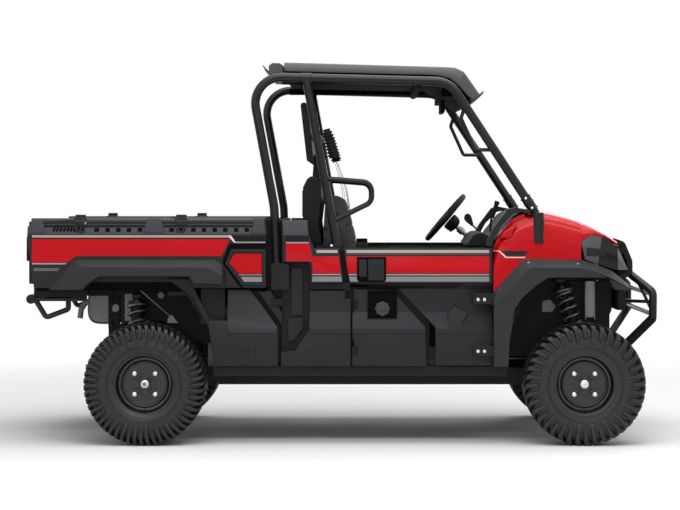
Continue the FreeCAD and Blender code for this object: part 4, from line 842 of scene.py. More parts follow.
class Placing:
    """What a piece of both sides shares: its finish, body, slot and edges."""

    def __init__(self, body: str, slot: str, finish: Finish, **edges: Any) -> None:
        """Keeps the settings.

        Args:
            body: the body; {side} stands for right or left.
            slot: the record's slot.
            finish: the finish.
            edges: more settings of Shape.build.
        """
        self.body, self.slot, self.finish, self.edges = body, slot, finish, edges

    def pair(self, name: str, shape: Shape, replaces: Sequence[str] = (),
             **more: Any) -> list[bpy.types.Object]:
        """Builds a right side shape and its twin on the left.

        Args:
            name: the pieces' shared name.
            shape: the right side's shape.
            replaces: the CAD nodes; {side} stands for the side, and a node of both goes with the right.
            more: settings that change for this piece.

        Returns:
            The two objects.
        """
        made = []
        for side in Side:
            part = shape if side is Side.RIGHT else shape.mirrored()
            named = [node.format(side=side.word) for node in replaces if "{" in node or side is Side.RIGHT]
            made.append(part.build(
                f"{name}_{side.word}", self.finish, self.body.format(side=side.word), self.slot,
                replaces=named, **{**self.edges, **more}))
        return made

    def one(self, name: str, shape: Shape, replaces: Sequence[str] = (), **more: Any) -> bpy.types.Object:
        """Builds a shape that serves both sides.

        Args:
            name: the piece's name.
            shape: its shape.
            replaces: the CAD nodes it stands for.
            more: settings that change for this piece.

        Returns:
            The object.
        """
        return shape.build(name, self.finish, self.body, self.slot, replaces=replaces,
                           **{**self.edges, **more})


def plastic(finish: Finish, body: str = "chassis", **edges: Any) -> Placing:
    """A placing of black plastic pieces."""
    return Placing(body, "black_plastic", finish, **edges)


def steel(finish: Finish, body: str = "chassis", **edges: Any) -> Placing:
    """A placing of black steel pieces."""
    return Placing(body, "black_steel", finish, **edges)


def bare(finish: Finish, body: str = "chassis", **edges: Any) -> Placing:
    """A placing of bare steel pieces."""
    return Placing(body, "shaft_steel", finish, **edges)


def cast(finish: Finish, body: str = "chassis", **edges: Any) -> Placing:
    """A placing of cast or coated metal pieces."""
    return Placing(body, "cast_metal", finish, **edges)


def panel_paint(finish: Finish, body: str = "chassis", **edges: Any) -> Placing:
    """A placing of painted panels."""
    return Placing(body, "red_panel", finish, **edges)


@dataclass
class Wheel:
    """A wheel of one axle: carcass with two rows of lugs, pressed steel rim, nuts and hub cap."""

    place: str
    axle_x: float
    middle_y: float
    width: float
    rim_half: float
    lugs: int
    open_hub: bool
    radius: float = 0.325
    nut_circle: float = 0.079
    nut_radius: float = 0.0169

    @property
    def centre(self) -> tuple[float, float, float]:
        """The right wheel's centre."""
        return self.axle_x, -self.middle_y, self.radius

    def build(self) -> None:
        """Makes the axle's two wheels."""
        body = f"wheel_{self.place}_" + "{side}"
        Placing(body, "tyre", RUBBER, smooth=42.0).pair(
            f"lugged_tyre_{self.place}", self.tyre(), [f"tyre_{self.place}_" + "{side}"])
        Placing(body, "wheel_paint", WHEEL_BLACK, smooth=32.0).pair(
            f"pressed_rim_{self.place}", self.rim(), [f"rim_{self.place}_" + "{side}"])
        bare(BRIGHT_STEEL, body, smooth=40.0).pair(f"lug_nuts_{self.place}", self.nuts())

    def tyre(self) -> Shape:
        """The carcass turned about the axle, and its lugs."""
        half, bead = self.width / 2.0, self.rim_half
        outer = [(bead - 0.004, 0.1525), (bead + 0.01, 0.16), (half * 0.88, 0.178), (half * 0.925, 0.208),
                 (half * 0.9, 0.245), (half * 0.86, 0.275), (half * 0.78, 0.296), (half * 0.56, 0.306),
                 (0.0, 0.309)]
        line = flowing(outer, 4)
        ring = np.concatenate([line, (line * (-1, 1))[::-1][1:]])
        shape = Shape().turned(ring[::-1], self.centre, 96)
        for ring_radius, rise in ((0.196, 0.0016), (0.206, 0.0012)):
            reach = half * 0.93
            bead_ring = [(-reach - rise, ring_radius), (-reach + 0.004, ring_radius - 0.004),
                         (-reach + 0.004, ring_radius + 0.004)]
            shape.turned(bead_ring, self.centre, 96)
        return shape.joined(self.lug_rows())

    def lug_rows(self) -> Shape:
        """Lugs of both rows, each a bar that wraps from the crown over the shoulder, long and short by turns.

        Every lug is a grid: its top follows one line of (across, radius) and its foot another; the angle
        about the axle is the lug's own plus a lean that fades towards the shoulder.
        """
        half = self.width / 2.0
        top = np.array([(0.01, 0.325), (half * 0.42, 0.325), (half * 0.76, 0.3238), (half * 0.9, 0.318),
                        (half * 0.97, 0.306), (half * 0.995, 0.288), (half, 0.27), (half * 0.995, 0.25),
                        (half * 0.965, 0.23), (half * 0.945, 0.214)])
        foot = np.array([(0.01, 0.304), (half * 0.42, 0.304), (half * 0.66, 0.3), (half * 0.77, 0.292),
                         (half * 0.82, 0.282), (half * 0.85, 0.27), (half * 0.87, 0.256),
                         (half * 0.885, 0.242), (half * 0.9, 0.226), (half * 0.905, 0.21)])
        section = np.stack([foot, top, top, foot], axis=1)
        pitch = 2.0 * np.pi / self.lugs
        lean = pitch * np.interp(np.arange(10), (0, 2, 4, 9), (1.15, 0.45, 0.08, 0.0))
        girth = pitch * np.interp(np.arange(10), (0, 1, 3, 9), (0.24, 0.27, 0.3, 0.22))
        shape = Shape()
        for row, sign in enumerate((-1.0, 1.0)):
            for index in range(self.lugs):
                count = 10 if index % 2 else 8
                turn = (index + 0.5 * row) * pitch
                angles = turn + (lean[:count, None] + girth[:count,
                                                            None] * np.array([-1.15, -0.85, 0.85, 1.15]))
                across, reach = section[:count, :, 0], section[:count, :, 1]
                grid = np.stack([np.cos(angles) * reach, across * sign, np.sin(angles) * reach], axis=-1)
                grid = grid + np.asarray(self.centre)
                shape.grid(grid, around=True).polygon(grid[0][::-1]).polygon(grid[-1])
        return shape

    def rim(self) -> Shape:
        """The pressed rim turned about the axle: flanges, barrel, raised ring and dished centre."""
        b = self.rim_half
        front = [(b + 0.006, 0.164), (b + 0.009, 0.16), (b + 0.007, 0.154), (b - 0.002, 0.149),
                 (b - 0.026, 0.1455), (b - 0.036, 0.14), (b - 0.038, 0.129), (b - 0.03, 0.1235),
                 (b - 0.026, 0.12), (b - 0.027, 0.116), (b - 0.036, 0.112), (b - 0.037, 0.06),
                 (b - 0.034, 0.056), (b - 0.034, 0.045), (b - 0.04, 0.042), (b - 0.04, 0.034),
                 (b - 0.03, 0.031), (b - 0.028, 0.001)]
        rear = [(b - 0.045, 0.001), (b - 0.046, 0.112), (b - 0.046, 0.138), (-b + 0.03, 0.138),
                (-b + 0.004, 0.147), (-b - 0.007, 0.154), (-b - 0.007, 0.164), (-b, 0.164), (-b, 0.152),
                (-b + 0.03, 0.15), (-b + 0.036, 0.144), (b - 0.05, 0.144), (b - 0.03, 0.15),
                (b, 0.152), (b, 0.164)]
        shape = Shape().turned([(-across, radius) for across, radius in front + rear], self.centre, 72)
        for index in range(4):
            turn = np.pi / 2 * index
            spoke = np.array([(0.03, -0.01), (0.058, -0.022), (0.058, 0.022), (0.03, 0.01)])
            x = spoke[:, 0] * np.cos(turn) - spoke[:, 1] * np.sin(turn) + self.axle_x
            z = spoke[:, 0] * np.sin(turn) + spoke[:, 1] * np.cos(turn) + self.radius
            shape.prism(np.stack([x, z], axis=1), -self.middle_y - b + 0.0325, -self.middle_y - b + 0.0375)
        x, y, z = self.centre
        return shape.tube([(x, y - b + 0.03, z - 0.134), (x, y - b + 0.006, z - 0.134)], 0.004, 10)

    def nuts(self) -> Shape:
        """Four domed nuts on their circle, and the hub's cap or ring."""
        dome = [(0.0, self.nut_radius), (-0.006, self.nut_radius), (-0.013, self.nut_radius * 0.8),
                (-0.017, self.nut_radius * 0.4), (-0.018, 0.0004), (0.004, 0.0004),
                (0.004, self.nut_radius)]
        shape = Shape()
        x, y, z = self.centre
        face = y - self.rim_half + 0.036
        for turn in np.pi / 4 + np.pi / 2 * np.arange(4):
            place = (x + np.cos(turn) * self.nut_circle, face, z + np.sin(turn) * self.nut_circle)
            shape.turned(dome, place, 20)
        hole = 0.009 if self.open_hub else 0.0004
        cap = [(0.0, 0.023), (-0.01, 0.023), (-0.015, 0.018), (-0.017, hole + 0.002), (-0.012, hole),
               (0.01, hole), (0.01, 0.023)]
        return shape.turned(cap, (x, face - 0.006, z), 28)


@dataclass
class Springs:
    """Coil springs, damper rods and damper bodies of the four struts."""

    coil_radius: float = 0.045
    wire_radius: float = 0.0084
    turns: tuple[float, float] = (8.5, 11.5)
    shares: tuple[float, float] = (0.385, 0.915)
    struts: tuple[tuple[float, float, float], ...] = ((-1.107, -1.134, 0.778), (1.361, 1.193, 0.864))
    foot_y: float = 0.4853
    head_y: float = 0.417
    foot_z: float = 0.2442

    def build(self) -> None:
        """Makes the springs, the bright rods and the dark bodies, each as one piece."""
        springs, rods, bodies = Shape(), Shape(), Shape()
        for (foot_x, head_x, head_z), turns in zip(self.struts, self.turns):
            foot = np.array([foot_x, -self.foot_y, self.foot_z])
            head = np.array([head_x, -self.head_y, head_z])
            near, far = (foot + (head - foot) * share for share in self.shares)
            coil = self.coil(near, far, turns)
            springs.tube(coil, self.wire_radius, 10)
            rods.tube(np.linspace(near, foot + (head - foot) * 0.97, 3), 0.0105, 14)
            reach, radius = (0.9, 0.035) if foot_x < 0.0 else (0.8, 0.0265)
            bodies.tube(np.linspace(near, foot + (head - foot) * reach, 3), radius, 20)
        for shape in (springs, rods, bodies):
            shape.joined(shape.mirrored())
        steel(CHASSIS_BLACK, smooth=50.0).one("damper_bodies", bodies)
        steel(SPRING_BLACK, smooth=60.0).one("coil_spring_set", springs, ["coil_springs"])
        bare(BRIGHT_STEEL, smooth=60.0).one("damper_rods", rods)

    def coil(self, low: np.ndarray, high: np.ndarray, turns: float) -> np.ndarray:
        """A helix from low to high: the end turns lie closer than the middle ones."""
        axis = (high - low) / np.linalg.norm(high - low)
        across = np.cross(axis, (0.0, 1.0, 0.0))
        across /= np.linalg.norm(across)
        other = np.cross(axis, across)
        share = np.linspace(0.0, 1.0, int(turns * 20))
        rise = 0.5 + (share - 0.5) * (1.0 + 0.55 * (1.0 - (2.0 * share - 1.0) ** 4))
        rise = np.clip((rise - rise[0]) / (rise[-1] - rise[0]), 0.0, 1.0)
        turn = share * turns * 2.0 * np.pi
        circle_part = across * np.cos(turn)[:, None] + other * np.sin(turn)[:, None]
        return low + (high - low) * rise[:, None] + circle_part * self.coil_radius


@dataclass
class Cage:
    """Roll cage of bent steel tube: side hoops, pillars, arm guards, grab handles and feet."""

    tube: float = 0.024
    across: float = 0.695
    bend: float = 0.14
    guard: float = 0.013
    hoop: Places = (
        (-0.354, 0.966), (-0.368, 1.27), (-0.498, 1.97), (0.572, 1.942), (1.03, 1.242), (1.046, 1.075))
    pillar: Places = ((-0.1975, 1.961), (-0.032, 1.061))
    guard_loop: Places = ((-0.094, 1.422), (0.156, 1.402), (0.156, 1.295), (-0.061, 1.19))
    bar_places: Places = ((-0.215, 1.9425), (0.41, 1.934))

    def build(self) -> None:
        """Makes each side's tubes and fittings."""
        y = -self.across
        tubes = Shape()
        hoop = [(x, y, z) for x, z in self.hoop]
        tubes.tube(np.concatenate([
            bent([hoop[0], hoop[1], (hoop[1][0] - 0.026, y, 1.41)], 0.3, 5)[:-1],
            bent([hoop[1], *hoop[2:5]], self.bend, 12)[1:-1],
            bent([(0.94, y, 1.379), hoop[4], hoop[5]], 0.06, 6)]), self.tube, 24)
        tubes.tube([(x, y, z) for x, z in self.pillar], self.tube * 0.95, 24)
        tubes.tube(bent([(x, y, z) for x, z in self.guard_loop], 0.052, 9), self.guard, 16)
        grab = [(0.6542, y, 1.806), (0.635, y + 0.038, 1.748), (0.712, y + 0.038, 1.577),
                (0.7886, y + 0.038, 1.577), (0.8054, y, 1.571)]
        tubes.tube(bent(grab, 0.0156, 5), self.guard * 0.8, 14)
        placing = steel(SATIN_BLACK, smooth=50.0)
        placing.pair("cage_tubes", tubes, ["cage_{side}"])
        placing.pair("cage_fittings", self.fittings(), bevel=0.0015, smooth=35.0)
        bars = Shape()
        reach = self.across - self.tube
        for x, z in self.bar_places:
            bars.tube([(x, -reach, z), (x, reach, z)], self.tube * 0.9, 24)
        # The cross tubes under the roof get the near-black finish: painted shade.
        steel(BLACK_PAINTED_SHADE, smooth=50.0).one("cage_cross_tubes", bars, ["cage_crossbars"])
        bare(BRIGHT_STEEL, smooth=40.0).pair("cage_bolts", self.bolts())

    def fittings(self) -> Shape:
        """Foot plates, collars and weld pads."""
        y = -self.across
        shape = Shape()
        foot = [(-0.383, 0.828), (-0.287, 0.828), (-0.287, 0.956), (-0.298, 0.967), (-0.383, 0.967)]
        shape.prism(foot, y - 0.03, y + 0.024)
        shape.turned([(0.0, 0.009), (-0.005, 0.009), (-0.005, 0.0004), (0.002, 0.0004), (0.002, 0.009)],
                     (-0.338, y - 0.03, 0.849), 14)
        shape.block((-0.0704, y - 0.034, 1.051), (-0.0104, y + 0.034, 1.071))
        direction = np.array([0.5488, 0.0, -0.836])
        end = np.array([1.024, y, 1.251])
        shape.tube([end - direction * 0.088, end - direction * 0.006], self.tube * 1.14, 24)
        for reach in (0.084, 0.05, 0.01):
            middle = end - direction * reach
            shape.tube([middle - direction * 0.004, middle + direction * 0.004], self.tube * 1.28, 24)
        top = np.array([self.pillar[0][0], y, self.pillar[0][1]])
        shape.tube([top + (-0.03, 0.0, 0.0), top + (0.03, 0.0, 0.0)], self.tube * 1.16, 20)
        return shape

    def bolts(self) -> Shape:
        """Bolt heads on the feet and the collars."""
        return Shape().bolts([(-0.06, -self.across - 0.0335, 1.062), (1.012, -self.across - 0.029, 1.264),
                              (0.978, -self.across - 0.029, 1.316)], 0.0075, (0.004, 0.007), (0.006, 0.004))


@dataclass
class FrontBody:
    """Bonnet, wings, headlamps, nose, flares and the bar in front of them."""

    wing_low: Places = ((0.804, 0.812), (0.952, 0.978), (0.973, 0.99), (1.272, 0.984))
    crest: Places = (
        (0.804, 1.05), (0.808, 1.093), (0.862, 1.157), (0.915, 1.214), (0.96, 1.236), (1.038, 1.246),
        (1.1, 1.24), (1.163, 1.226), (1.272, 1.196), (1.33, 1.172), (1.375, 1.147), (1.425, 1.116),
        (1.47, 1.09))
    crown: Places = (
        (1.001, 1.258), (1.081, 1.257), (1.161, 1.241), (1.268, 1.205), (1.322, 1.184), (1.375, 1.15),
        (1.425, 1.122), (1.47, 1.098), (1.5, 1.085), (1.535, 1.062), (1.545, 1.045))

    def build(self) -> None:
        """Makes the front body's pieces."""
        paint = panel_paint(GLOSS_RED, smooth=38.0)
        paint.pair("wing_facets", self.wing_facets(), bevel=0.002)
        panel_paint(WING_PAINT, smooth=38.0).pair("front_wing", self.wing(), ["wing_{side}"], thick=0.006)
        paint.one("hood", self.hood(), ["bonnet"], thick=0.006)
        trim = plastic(PLASTIC, bevel=0.003)
        plastic(FACET_GREY, bevel=0.003).pair("front_flare_arch", self.flare(), ["front_flares"])
        trim.pair("cowl_trim", self.cowl())
        plastic(HOUSING).pair("lamp_housing", self.housing(), ["headlamps"], thick=0.05, bevel=0.004)
        trim.pair("pillar_sleeve", self.sleeve(), ["pillar_covers"])
        dark = plastic(DARK_PLASTIC, bevel=0.002)
        dark.one("nose_mask", self.nose(), ["grille"], bevel=0.003)
        dark.pair("arch_liner_edge", self.hinge_halves())
        Placing("chassis", "lamp_lens", SMOKED).pair("lamp_lens", self.lens())
        steel(SATIN_BLACK, smooth=50.0).one("brush_guard", self.guard(), ["front_bumper"])
        bare(DULL_STEEL, smooth=40.0).pair("flare_rivets", self.rivets())

    def wing(self) -> Shape:
        """The wing's skin: sections from the inner edge over the crest and shoulder down to the flare.

        At each station the section runs through eight points of (across, height), smoothed into a curve.
        """
        stations = np.concatenate([np.linspace(0.804, 1.2715, 15), [1.2725], np.linspace(1.3, 1.47, 6)])
        crest_x, crest_z = np.array(self.crest).T
        low_x, low_z = np.array(self.wing_low).T
        grid = []
        for x in stations:
            top = np.interp(x, crest_x, crest_z)
            low = np.interp(x, low_x, low_z)
            if x > 1.272:
                low = np.interp(x, (1.272, 1.327, 1.409, 1.47), (1.089, 1.123, 1.109, 1.066))
            side = float(nose_reach(np.array(x), np.array(0.0)))
            inner = 0.474 if x > 0.999 else 0.676
            fall = top - low
            row = [(inner, top - 0.03 * (x > 0.999)), (inner * 0.72 + side * 0.28, top - 0.002),
                   (inner * 0.35 + side * 0.65, top - 0.004), (side - 0.032, top - min(0.03, fall * 0.3)),
                   (side - 0.008, top - min(0.075, fall * 0.55)), (side, top - min(0.12, fall * 0.8)),
                   (side, low + fall * 0.1), (side, low)]
            line = flowing(row, 4)
            line[:, 0] = np.minimum(line[:, 0], side)
            grid.append(np.stack([np.full(len(line), x), -line[:, 0], line[:, 1]], axis=1))
        return Shape().grid(np.array(grid))

    def wing_facets(self) -> Shape:
        """Raised facets on the wing behind the pillar: a wedge over a shallow step."""
        wedge = [(0.838, 1.104), (0.898, 1.104), (0.924, 1.172), (0.862, 1.142)]
        face = [(0.848, 1.109), (0.893, 1.109), (0.914, 1.158), (0.866, 1.136)]
        shape = Shape().raised(wedge, face, 0.744, 0.7505, 0.7)
        step = [(0.858, 1.092), (0.902, 1.092), (0.898, 1.066), (0.858, 1.066)]
        ledge = [(0.861, 1.088), (0.898, 1.088), (0.894, 1.069), (0.861, 1.069)]
        return shape.raised(step, ledge, 0.744, 0.7475, 0.735)

    def sleeve(self) -> Shape:
        """The pillar's sleeve: a half-round cover between two flats, let into the wing."""
        turn = np.linspace(0.0, np.pi, 15)
        arc = np.stack([1.0455 + np.cos(turn) * 0.027, -0.736 - np.sin(turn) * 0.024], axis=1)
        outline = np.concatenate([arc, [(1.0185, -0.672), (1.0725, -0.672)]])
        return Shape().prism(outline, 1.074, 1.24, axis=2)

    def hood(self) -> Shape:
        """The bonnet between the wings: a shallow crown with a raised middle, falling to the nose."""
        crown_x, crown_z = np.array(self.crown).T
        stations = np.concatenate([np.linspace(1.001, 1.47, 16), np.linspace(1.485, 1.545, 5)])
        half = np.array([0.0, 0.1, 0.2, 0.235, 0.262, 0.34, 0.42, 0.455, 0.469])
        drop = np.array([0.0, 0.0, 0.001, 0.004, 0.012, 0.013, 0.017, 0.026, 0.04])
        across = np.concatenate([-half[::-1], half[1:]])
        fall = np.concatenate([drop[::-1], drop[1:]])
        grid = [
            np.stack([np.full(len(across), x), across, np.interp(x, crown_x, crown_z) - fall], axis=1)
            for x in stations
        ]
        return Shape().grid(np.array(grid)[:, ::-1])

    def flare(self) -> Shape:
        """The arch's flare: a flat face, a bevel above it and the leg down to the sill."""
        edge = np.array([
            (0.804, 0.816), (0.952, 0.98), (0.973, 0.994), (1.277, 0.987), (1.352, 0.964), (1.44, 0.927),
            (1.528, 0.852), (1.515, 0.824), (1.446, 0.831), (1.419, 0.89), (1.379, 0.895), (1.095, 0.895),
            (1.026, 0.851), (0.952, 0.784), (0.915, 0.729), (0.899, 0.62), (0.888, 0.567), (0.881, 0.422),
            (0.804, 0.42)])
        face = edge.copy()
        face[:7] = [(0.804, 0.752), (0.985, 0.938), (1.01, 0.95), (1.268, 0.946), (1.338, 0.93),
                    (1.42, 0.895), (1.517, 0.842)]
        return Shape().raised(edge, face, 0.745, 0.799, 0.69)

    def cowl(self) -> Shape:
        """The trim along the front body's rear edge, from the door up to the pillar."""
        outer = [(0.767, 1.058), (0.77, 1.09), (0.806, 1.159), (0.88, 1.258), (0.9226, 1.268),
                 (1.004, 1.252)]
        inner = [(1.006, 1.23), (0.955, 1.243), (0.912, 1.234), (0.8452, 1.1665), (0.804, 1.092),
                 (0.798, 1.058)]
        return Shape().prism(outer + inner, -0.735, -0.684)

    def housing(self) -> Shape:
        """The headlamp's housing, which follows the front body's plan."""
        outline = [(1.272, 1.087), (1.327, 1.121), (1.409, 1.107), (1.48, 1.04), (1.552, 0.925),
                   (1.44, 0.938), (1.293, 0.988)]
        return Shape().skin(outline, nose_reach, stations=(1.336, 1.472))

    def lens(self) -> Shape:
        """The lamp's dark window, standing just proud of the housing."""
        outline = [(1.3, 1.054), (1.384, 1.044), (1.407, 1.006), (1.3, 1.009)]
        return Shape().skin(outline, lambda x, z: nose_reach(x, z) + 0.002, stations=(1.336,))

    def nose(self) -> Shape:
        """The dark nose between the lamps: a slatted mask, its side hoops and the round eyes in them."""
        shape = Shape()
        shape.block((1.498, -0.455, 0.705), (1.52, 0.455, 1.05))
        for level in np.arange(0.742, 1.03, 0.048):
            shape.block((1.516, -0.4, level), (1.541, 0.4, level + 0.018))
        for end in (-1.0, 1.0):
            low, high = sorted((end * 0.4, end * 0.468))
            shape.block((1.505, low, 0.705), (1.543, high, 1.056))
            hoop = [(1.47, end * 0.49, 1.085), (1.52, end * 0.49, 1.068), (1.56, end * 0.475, 0.975),
                    (1.562, end * 0.465, 0.915), (1.5, end * 0.47, 0.88), (1.44, end * 0.49, 0.905)]
            shape.sweep(flat_bar(0.022, 0.015), bent(hoop, 0.018, 5))
            shape.turned([(0.0, 0.0004), (-0.02, 0.0004), (-0.02, 0.03), (0.0, 0.03)],
                         (1.493, end * 0.5 + (0.0 if end < 0 else 0.02), 1.024), 24)
        shape.block((1.518, -0.4, 1.01), (1.545, 0.4, 1.046))
        return shape

    def hinge_halves(self) -> Shape:
        """The wing's halves of the door hinges."""
        shape = Shape()
        for level in HINGE_LEVELS:
            shape.block((0.806, -0.7665, level - 0.03), (0.872, -0.744, level - 0.001))
            shape.tube([(*HINGE_LINE, level - 0.03), (*HINGE_LINE, level - 0.0005)], HINGE_BARREL, 16)
        return shape

    def guard(self) -> Shape:
        """The bar in front of the nose: side tubes, legs on the frame, braces and cross tubes."""
        shape = Shape()
        for end in (-1.0, 1.0):
            rail, out = 0.33 * end, 0.541 * end
            leg = bent([(1.51, rail, 0.38), (1.51, rail, 0.455), (1.684, out, 0.668)], 0.032, 6)
            shape.sweep(flat_bar(0.021, 0.013), leg)
            side = bent([(1.682, out, 0.664), (1.684, out, 0.808), (1.5437, 0.432 * end, 0.924)], 0.04, 8)
            shape.tube(side, 0.0215, 20)
            shape.tube([(1.684, out, 0.692), (1.602, 0.476 * end, 0.878)], 0.0088, 12)
            shape.tube([(1.682, out, 0.755), (1.533, 0.432 * end, 0.755)], 0.0096, 12)
        for level in (0.686, 0.794):
            shape.tube([(1.684, -0.541, level), (1.684, 0.541, level)], 0.0136, 18)
        return shape

    def rivets(self) -> Shape:
        """Rivets along the flare."""
        return Shape().bolts([(0.99, -0.768, 0.972), (1.252, -0.772, 0.966), (0.842, -0.76, 0.826)], 0.008,
                             (0.003, 0.007), (0.0045, 0.004), 0.002, 14)


@dataclass
class SidePanels:
    """Panels of the body side between the wheels, below and behind the doors."""

    seat_side: Places = (
        (0.06, 0.832), (0.268, 0.822), (0.442, 0.626), (0.447, 0.42), (0.051, 0.42), (0.051, 0.52),
        (0.06, 0.526), (0.06, 0.56), (0.051, 0.566), (0.051, 0.7), (0.06, 0.712))
    rear_lower: Places = (
        (-0.176, 0.831), (0.012, 0.832), (0.012, 0.779), (0.042, 0.779), (0.042, 0.42), (-0.329, 0.42),
        (-0.329, 0.496), (-0.255, 0.501), (-0.18, 0.616))
    apron: Places = (
        (-0.615, 0.827), (-0.496, 0.827), (-0.347, 0.626), (-0.347, 0.42), (-0.687, 0.42), (-0.72, 0.664),
        (-0.619, 0.662))
    quarter: Places = (
        (-0.322, 1.196), (-0.19, 1.196), (-0.18, 1.116), (-0.152, 1.05), (-0.019, 1.05), (0.003, 0.864),
        (-0.171, 0.864), (-0.171, 0.945), (-0.184, 0.976), (-0.322, 0.976))
    wall: float = 0.012

    def build(self) -> None:
        """Makes the side's panels."""
        lower = plastic(LOWER_SIDE, thick=self.wall, bevel=0.0025)
        painted_side = plastic(QUARTER_SIDE, thick=self.wall, bevel=0.0025)
        for placing, name, outline, nodes in (
            (lower, "seat_side_panel", self.seat_side, ["lower_panels"]),
            (lower, "rear_lower_panel", self.rear_lower, []),
            (lower, "apron_panel", self.apron, []),
            (painted_side, "quarter_upper", self.quarter, ["quarter_panels"]),
        ):
            placing.pair(name, Shape().skin(outline, side_reach, SIDE_CREASES), nodes)
        # The quarter's top in a lighter grey: painted light on faces that look up.
        plastic(PAINTED_LIT_GREY, bevel=0.0025).pair("quarter_lid", self.quarter_lid())
        lower.pair("recess_plates", self.recess_plates(), thick=0.0)
        plastic(CAP_GREY, bevel=0.0015).pair("filler_cap", self.filler())
        plastic(DARK_PLASTIC, bevel=0.002).pair("panel_backing", self.backing())
        # The fuel pocket's near-black field and frame: painted shade in the recess.
        plastic(BLACK_PAINTED_SHADE, bevel=0.002).pair("fuel_recess", self.fuel_recess(), ["fuel_cap"])
        plastic(PLASTIC, bevel=0.002).pair("guard_strip", self.guard_strip())

    def guard_strip(self) -> Shape:
        """The slanted strip behind the apron."""
        outline = [(-0.942, 0.885), (-0.824, 0.885), (-0.713, 0.669), (-0.63, 0.661), (-0.63, 0.595),
                   (-0.708, 0.595), (-0.799, 0.782)]
        return Shape().prism(outline, -0.704, -0.684)

    def quarter_lid(self) -> Shape:
        """The quarter's moulded top: a flat facet over a sloped one."""
        base = [(-0.322, 1.116), (-0.181, 1.116), (-0.19, 1.199), (-0.322, 1.199)]
        face = [(-0.318, 1.12), (-0.185, 1.12), (-0.192, 1.176), (-0.318, 1.176)]
        shape = Shape().raised(base, face, 0.744, 0.751, 0.69)
        return shape.block((-0.322, -0.72, 1.185), (-0.191, -0.672, 1.1985))

    def recess_plates(self) -> Shape:
        """Plates in the dark recess under the quarter, and the apron's latch."""
        shape = Shape()
        shape.prism([(-0.294, 0.675), (-0.212, 0.675), (-0.212, 0.622), (-0.262, 0.553), (-0.294, 0.553)],
                    -0.7, -0.688)
        shape.block((-0.276, -0.696, 0.69), (-0.216, -0.688, 0.944))
        shape.prism([(-0.452, 0.818), (-0.384, 0.818), (-0.326, 0.7), (-0.326, 0.64)], -0.712, -0.69)
        shape.block((-0.505, -0.748, 0.462), (-0.463, -0.744, 0.5405))
        return shape.block((-0.498, -0.751, 0.469), (-0.47, -0.747, 0.5335))

    def backing(self) -> Shape:
        """Dark inner walls seen through the gaps between the panels."""
        return Shape().blocks(((-0.33, -0.686, 0.43), (0.03, -0.672, 1.04)),
                              ((-0.176, -0.712, 0.82), (0.04, -0.68, 0.866)),
                              ((-0.762, -0.69, 0.64), (-0.63, -0.676, 0.834)))

    def fuel_recess(self) -> Shape:
        """The fuel filler's pocket: a dark field inside a thin frame, near-black as painted shade."""
        frame = [(0.132, 0.822), (0.289, 0.822), (0.289, 0.675), (0.132, 0.675)]
        inner = [(0.14, 0.814), (0.281, 0.814), (0.275, 0.683), (0.146, 0.683)]
        return Shape().framed(frame, inner, -0.7335, -0.706).prism(inner, -0.728, -0.706)

    def filler(self) -> Shape:
        """The filler cap: eight scallops round a domed face, and a grip across it."""
        turn = turns(64)
        scallop = 1.0 + 0.05 * np.cos(turn * 8.0)
        rings = []
        for y, radius in ((-0.72, 0.037), (-0.74, 0.0385), (-0.744, 0.0345), (-0.7446, 0.001)):
            reach = radius * (scallop if radius > 0.02 else 1.0)
            x, z = 0.2115 + np.cos(turn) * reach, 0.7266 + np.sin(turn) * reach
            rings.append(np.stack([x, np.full(64, y), z], axis=1))
        shape = Shape().grid(np.array(rings), around=True).polygon(rings[0]).polygon(rings[-1][::-1])
        return shape.block((0.186, -0.75, 0.72), (0.237, -0.743, 0.733))


